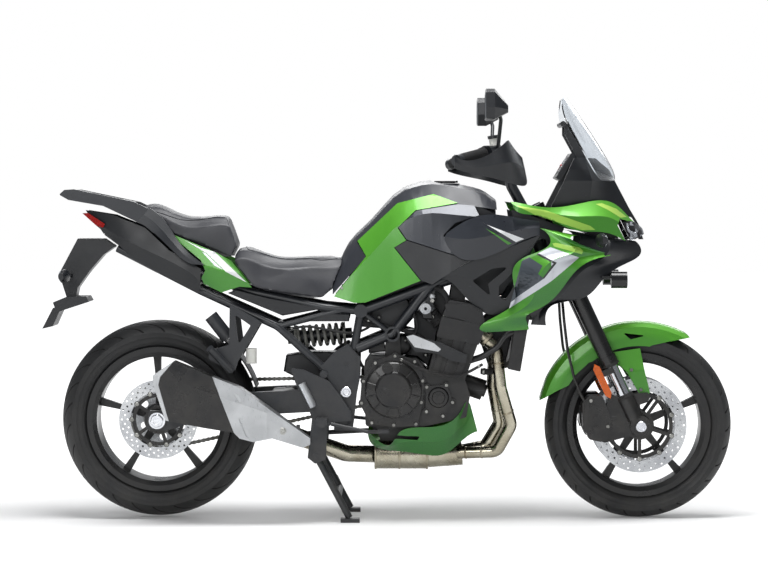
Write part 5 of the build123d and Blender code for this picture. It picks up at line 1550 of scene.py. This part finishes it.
# %% Radiator core
CORE_LOW, CORE_TOP = Vector((416, 0, 479)), Vector((458, 0, 722))
core_up = (CORE_TOP - CORE_LOW).normalized()
core_out = Vector((core_up.z, 0, -core_up.x))
core_height = (CORE_TOP - CORE_LOW).length
core = Heap()
TUBES = 26
FIN = 0.35
FOLDS = 60
TUBE_HEIGHT = 2.4
TUBE_HALF = TUBE_HEIGHT / 2
CORE_HALF = 142
FOLD_WIDTH = 2 * (CORE_HALF - 1) / FOLDS
CORE_EDGE = 6
tube_step = (core_height - 2 * CORE_EDGE) / (TUBES - 1)
for i in range(TUBES):
    low = CORE_LOW + core_up * (CORE_EDGE + tube_step * i)
    outline = [
        (-CORE_HALF, -TUBE_HALF), (CORE_HALF, -TUBE_HALF), (CORE_HALF, TUBE_HALF),
        (-CORE_HALF, TUBE_HALF),
    ]
    plate(core, outline, low - core_out, (0, 1, 0), core_up, core_out, TUBE_HEIGHT)
    if i == TUBES - 1:
        continue
    top = TUBE_HALF + tube_step - TUBE_HEIGHT
    for fold in range(FOLDS):
        y = 1 - CORE_HALF + FOLD_WIDTH * fold
        ahead = y + FOLD_WIDTH / 2
        line = [(y, TUBE_HALF), (y + FIN, TUBE_HALF), (ahead + FIN, top), (ahead, top)]
        plate(core, line, low - core_out, (0, 1, 0), core_up, core_out, 1.8)
piece_from(core, "radiator_fins", core_alloy, "chassis", degrees=30.0)

# %% Weld rings on the headers
welds = Heap()
BEAD = [(18.4, -3.2), (19.7, -2.2), (20.5, -0.8), (20.5, 0.8), (19.7, 2.2), (18.4, 3.2)]
COLLAR = [(18.4, -7), (24, -7), (25, -6), (25, 3), (23, 5), (18.4, 5)]
WELD_PLACES = ((1, 0.36, BEAD), (2, 0.62, BEAD), (4, 0.38, BEAD), (4, 0.78, BEAD), (0, 0.35, COLLAR))
for y, low_y in ((-132, -62), (-44, -22), (44, 22), (132, 62)):
    outer = abs(y) > 100
    route = [
        Vector((300, y, 590)),
        Vector((346, y, 545)),
        Vector((360 if outer else 340, y, 420)),
        Vector((396 if outer else 362, low_y * 1.4, 300)),
        Vector(((396 if outer else 362) - 46, low_y, 214 if outer else 226)),
        Vector((225, low_y * 0.6, 208)),
    ]
    for index, share, profile in WELD_PLACES:
        a, b = route[index], route[index + 1]
        turned(welds, a.lerp(b, share), b - a, profile, 28)
LINK_BEAD = [(45.4, -4), (47.4, -2.4), (48, 0), (47.4, 2.4), (45.4, 4)]
for x in (128, 40, -36):
    turned(welds, (x, 0, 200), (1, 0, 0), LINK_BEAD, 36)
piece_from(welds, "header_weld_rings", weld_steel, "chassis")


# %% Fork seals
def fork_at(z):
    """The forward place of the fork leg at a height."""
    return FORK_FOOT_X - (z - FORK_FOOT_Z) * math.tan(RAKE)


FORK_UP = Vector((-math.sin(RAKE), 0, math.cos(RAKE)))
SEAL_Z = 392
TUBE_END_Z = 492
seals = Heap()
turned(
    seals,
    (fork_at(SEAL_Z), FORK_Y, SEAL_Z),
    FORK_UP,
    [(26.8, -6), (27.6, -4), (27.6, 1), (25.4, 3), (25.4, 6), (22.4, 9), (20.4, 9)],
    36,
)
turned(
    seals,
    (fork_at(TUBE_END_Z), FORK_Y, TUBE_END_Z),
    FORK_UP,
    [(20.3, -5), (23, -5), (27, -2), (29.6, 0), (29.6, 5), (28.4, 6)],
    36,
)
seals.twin()
piece_from(seals, "fork_seals", grip_rubber, "steering")

# %% [markdown]
# ## What fills the space round the engine
#
# Between the frame's tubes a real machine is crowded: the air box sits under the tank, four
# throttle bodies hang from it on rubber boots, the starter lies on the crankcase, and hoses and
# looms run past. They are simple turned, bent and moulded forms, so lathe rows and bars do.
# Rubber guards keep the engine's heat from the air box and the road's dirt from the shock.


# %% Moulded boxes
def moulding(heap, outline, near, far, edge=6.0):
    """A moulded box: an outline in the side view given width, with its two faces drawn in."""
    mid_x = sum(x for x, _ in outline) / len(outline)
    mid_z = sum(z for _, z in outline) / len(outline)

    def ring(y, inset):
        """The outline at one place across, drawn towards its middle."""
        row = []
        for x, z in outline:
            away = Vector((x - mid_x, z - mid_z))
            away *= 1 - inset / max(away.length, 1.0)
            row.append((mid_x + away.x, y, mid_z + away.y))
        return row

    sign = 1 if far > near else -1
    heap.skin([ring(near, edge), ring(near + sign * edge, 0), ring(far - sign * edge, 0), ring(far, edge)])


# %% Air box
airbox = Heap()
moulding(
    airbox,
    [(-52, 694), (-58, 728), (20, 772), (150, 792), (186, 770), (150, 726), (70, 700)],
    -122,
    122,
)
moulding(airbox, [(-92, 614), (-72, 700), (62, 712), (92, 650), (62, 616), (-20, 608)], -92, 92)
piece_from(airbox, "air_box", moulded_black, "chassis")

# %% Guards and side covers
guard = Heap()
moulding(guard, [(92, 540), (86, 640), (92, 736), (180, 744), (198, 660), (158, 590), (150, 540)], -70, 70)
moulding(guard, [(58, 522), (56, 600), (152, 600), (156, 560), (132, 484), (96, 514)], -64, 64)
moulding(
    guard,
    [(-330, 470), (-322, 520), (-250, 532), (-120, 530), (-92, 490), (-130, 440), (-250, 430)],
    -58,
    58,
)
moulding(
    guard, [(300, 560), (306, 640), (372, 700), (420, 700), (404, 600), (380, 500), (330, 470)], -40, 40
)
for side in (-1, 1):
    moulding(guard, [(-252, 632), (-190, 658), (-116, 654), (-120, 632)], side * 118, side * 138, edge=4)
    moulding(
        guard,
        [(-505, 722), (-480, 731), (-380, 706), (-230, 678), (-190, 674), (-330, 650)],
        side * 122,
        side * 136,
        edge=4,
    )
piece_from(guard, "heat_and_splash_guards", moulded_black, "chassis")

# %% Air ducts
ducts = Heap()
moulding(
    ducts, [(262, 706), (268, 768), (330, 816), (398, 826), (404, 770), (370, 716), (320, 700)], 62, 104
)
ducts.twin()
piece_from(ducts, "air_ducts", moulded_black, "chassis")

# %% Throttle bodies and starter
INTAKE_UP = Vector((-0.72, 0, 0.694))
INTAKE_FOOT = Vector((170, 0, 626))
ACROSS = (0, 1, 0)
LOWER_BOOT = [(20, 0), (25, 3), (25, 11), (21.5, 15), (21.5, 30), (25, 34), (25, 42), (20, 45)]
THROTTLE_BARREL = [(21, 0), (26, 2), (26, 12), (23, 14), (23, 34), (27, 36), (27, 44), (21, 46)]
UPPER_BOOT = [(20, 0), (27, 2), (27, 10), (24, 14), (24, 30), (20, 32)]
INJECTOR = [(7, 0), (7, 18), (9, 20), (9, 34), (6, 38)]
STARTER_CAN = [(24, 0), (31, 4), (33, 8), (33, 96), (31, 100), (26, 108), (10, 108), (9, 116)]
boots, bodies = Heap(), Heap()
for y in (-111, -37, 37, 111):
    foot = INTAKE_FOOT + Vector((0, y, 0))
    turned(boots, foot, INTAKE_UP, LOWER_BOOT, 28)
    turned(bodies, foot + INTAKE_UP * 44, INTAKE_UP, THROTTLE_BARREL, 28)
    turned(bodies, foot + INTAKE_UP * 60 + Vector((10, 0, 12)), (0.3, 0, 0.95), INJECTOR, 14)
    turned(boots, foot + INTAKE_UP * 88, INTAKE_UP, UPPER_BOOT, 28)
rail = INTAKE_FOOT + INTAKE_UP * 62 + Vector((18, 0, 42))
turned(bodies, rail + Vector((0, -134, 0)), ACROSS, [(6, 0), (9, 2), (9, 266), (6, 268)], 16)
shaft = INTAKE_FOOT + INTAKE_UP * 67
turned(bodies, shaft + Vector((0, -150, 0)), ACROSS, [(5, 0), (5, 300)], 12)
for y in (-150, -141):
    turned(bodies, shaft + Vector((0, y, 0)), ACROSS, [(17, 0), (17, 3)], 24)
piece_from(boots, "intake_boots", grip_rubber, "chassis")
piece_from(bodies, "throttle_bodies", silver_cast, "chassis")
starter = Heap()
turned(starter, (46, -92, 556), ACROSS, STARTER_CAN, 34)
moulding(starter, [(-58, 530), (-60, 584), (-14, 592), (-2, 536)], -104, -40, edge=5)
moulding(starter, [(112, 640), (108, 672), (140, 668), (146, 640)], -146, -120, edge=4)
piece_from(starter, "starter_and_relays", cast_black, "chassis")

# %% Hoses and looms
def smooth_path(points, steps=7):
    """A line through the given points with rounded corners."""
    points = [Vector(point) for point in points]
    line = []
    for i in range(len(points) - 1):
        before = points[max(i - 1, 0)]
        a, b = points[i], points[i + 1]
        after = points[min(i + 2, len(points) - 1)]
        for step in range(steps):
            t = step / steps
            bend = (2 * a) + (b - before) * t + (2 * before - 5 * a + 4 * b - after) * t * t
            line.append(0.5 * (bend + (3 * a - before - 3 * b + after) * t * t * t))
    return line + [points[-1]]


HOSES = [
    (9.5, [(120, -112, 744), (160, -140, 738), (186, -154, 712), (192, -156, 676), (184, -150, 650)]),
    (
        4.5,
        [
            (40, -192, 516), (66, -206, 506), (110, -212, 486), (170, -212, 468), (230, -206, 466),
            (300, -196, 500),
        ],
    ),
    (
        4.0,
        [
            (-318, -120, 606), (-250, -132, 616), (-180, -134, 604), (-110, -130, 596),
            (-60, -124, 612), (-20, -110, 650),
        ],
    ),
    (
        6.5,
        [
            (-70, -118, 640), (-20, -126, 622), (40, -122, 606), (96, -120, 590), (126, -118, 560),
            (122, -112, 520),
        ],
    ),
    (5.0, [(-62, -108, 560), (-90, -118, 540), (-84, -120, 500), (-60, -110, 470)]),
    (5.0, [(92, -118, 700), (84, -132, 660), (96, -134, 620), (84, -128, 586), (58, -110, 570)]),
    (8.0, [(150, 128, 742), (184, 152, 712), (192, 156, 676), (184, 150, 650)]),
    (
        6.5,
        [
            (-70, 118, 640), (-20, 126, 622), (40, 122, 606), (96, 120, 590), (126, 118, 560),
            (122, 112, 520),
        ],
    ),
    (10.0, [(300, -60, 470), (330, -70, 470), (356, -96, 486), (392, -120, 500), (410, -124, 520)]),
]
hoses = Heap()
for radius, route in HOSES:
    bent(hoses, smooth_path(route), radius, 12)
piece_from(hoses, "hoses_and_looms", grip_rubber, "chassis")
clips = Heap()
for radius, route in HOSES:
    line = smooth_path(route)
    for index in (2, len(line) - 3):
        ahead = line[index + 1] - line[index]
        turned(
            clips,
            line[index],
            ahead,
            [(radius + 0.1, 0), (radius + 1.4, 0.4), (radius + 1.4, 6), (radius + 0.1, 6.4)],
            18,
        )
piece_from(clips, "hose_clips", bolt_steel, "chassis")

# %% Rear axle nuts
NUT_Y = 151
NUT_AND_WASHER = [(26, 0), (26, 2.5), (19, 2.5), (19, 13), (17, 15), (11.5, 15), (11, 9)]
axle_nuts = Heap()
for side in (-1, 1):
    place = (REAR_AXLE[0], side * NUT_Y, REAR_AXLE[1])
    turned(axle_nuts, place, (0, side, 0), NUT_AND_WASHER, 30, six=(2, 3, 4))
piece_from(axle_nuts, "rear_axle_nuts", fork_chrome, "chassis")

# %% [markdown]
# ## Floor and light
#
# The floor is a plain pale plane. It glows a little towards the camera so that it reads as
# white, and its own matt colour still shows the shadow under the tyres. Three soft lamps do
# the work: a broad one overhead, one by the camera and one behind.


# %% Floor
FLOOR_HALF = 30.0
floor_mesh = bpy.data.meshes.new("floor")
floor_mesh.from_pydata(
    [
        (-FLOOR_HALF, -FLOOR_HALF, 0), (FLOOR_HALF, -FLOOR_HALF, 0), (FLOOR_HALF, FLOOR_HALF, 0),
        (-FLOOR_HALF, FLOOR_HALF, 0),
    ],
    [],
    [(0, 1, 2, 3)],
)
floor = bpy.data.objects.new("floor", floor_mesh)
bpy.context.scene.collection.objects.link(floor)
floor_material = bpy.data.materials.new("floor_white")
floor_material.use_nodes = True
tree = floor_material.node_tree
tree.nodes.clear()
rays = put(tree, "ShaderNodeLightPath").outputs
seen = math_node(
    tree,
    "MAXIMUM",
    rays["Is Camera Ray"],
    math_node(tree, "MAXIMUM", rays["Is Glossy Ray"], rays["Is Transmission Ray"]),
)
matt = put(tree, "ShaderNodeBsdfDiffuse", {"Color": (0.75, 0.75, 0.75, 1)})
reach = put(
    tree,
    "ShaderNodeVectorMath",
    {0: put(tree, "ShaderNodeTexCoord").outputs["Object"]},
    operation="LENGTH",
)
far = put(tree, "ShaderNodeMapRange", {0: reach.outputs["Value"], 1: 1.2, 2: 5.5, 3: 0.12, 4: 1.0})
strength = math_node(tree, "MULTIPLY", seen, far.outputs[0])
glow = put(tree, "ShaderNodeEmission", {"Color": (1, 1, 1, 1), "Strength": strength})
total = put(tree, "ShaderNodeAddShader", {0: matt.outputs[0], 1: glow.outputs[0]})
put(tree, "ShaderNodeOutputMaterial", {"Surface": total.outputs[0]})
floor_mesh.materials.append(floor_material)
print("floor:", 2 * FLOOR_HALF, "m square")

world = bpy.data.worlds.new("studio")
bpy.context.scene.world = world
world.use_nodes = True
tree = world.node_tree
tree.nodes.clear()
rays = put(tree, "ShaderNodeLightPath").outputs
seen = math_node(tree, "MAXIMUM", rays["Is Camera Ray"], rays["Is Transmission Ray"])
ambient = put(tree, "ShaderNodeBackground", {"Color": (0.93, 0.96, 1.0, 1), "Strength": 0.24})
backdrop = put(tree, "ShaderNodeBackground", {"Color": (1, 1, 1, 1), "Strength": 1.0})
both = put(tree, "ShaderNodeMixShader", {0: seen, 1: ambient.outputs[0], 2: backdrop.outputs[0]})
put(tree, "ShaderNodeOutputWorld", {"Surface": both.outputs[0]})
print("backdrop: white, ambient 0.24")


# %% Lamps
def softbox(name, place, aim, size, power):
    """A rectangular soft lamp that points at a place."""
    data = bpy.data.lights.new(name, "AREA")
    data.shape = "RECTANGLE"
    data.size = size[0]
    data.size_y = size[1]
    data.energy = power
    lamp = bpy.data.objects.new(name, data)
    lamp.location = place
    lamp.rotation_euler = (Vector(aim) - Vector(place)).to_track_quat("-Z", "Y").to_euler()
    bpy.context.scene.collection.objects.link(lamp)


softbox("overhead", (0.3, -0.6, 4.2), (0, 0, 0.5), (3.4, 1.6), 215)
softbox("side_fill", (-1.5, -5.5, 2.6), (0, 0, 0.6), (2.6, 1.6), 92)
softbox("back_rim", (0.5, 4.5, 2.8), (0, 0, 0.7), (4.5, 1.6), 90)
print("lamps: 3 soft boxes")
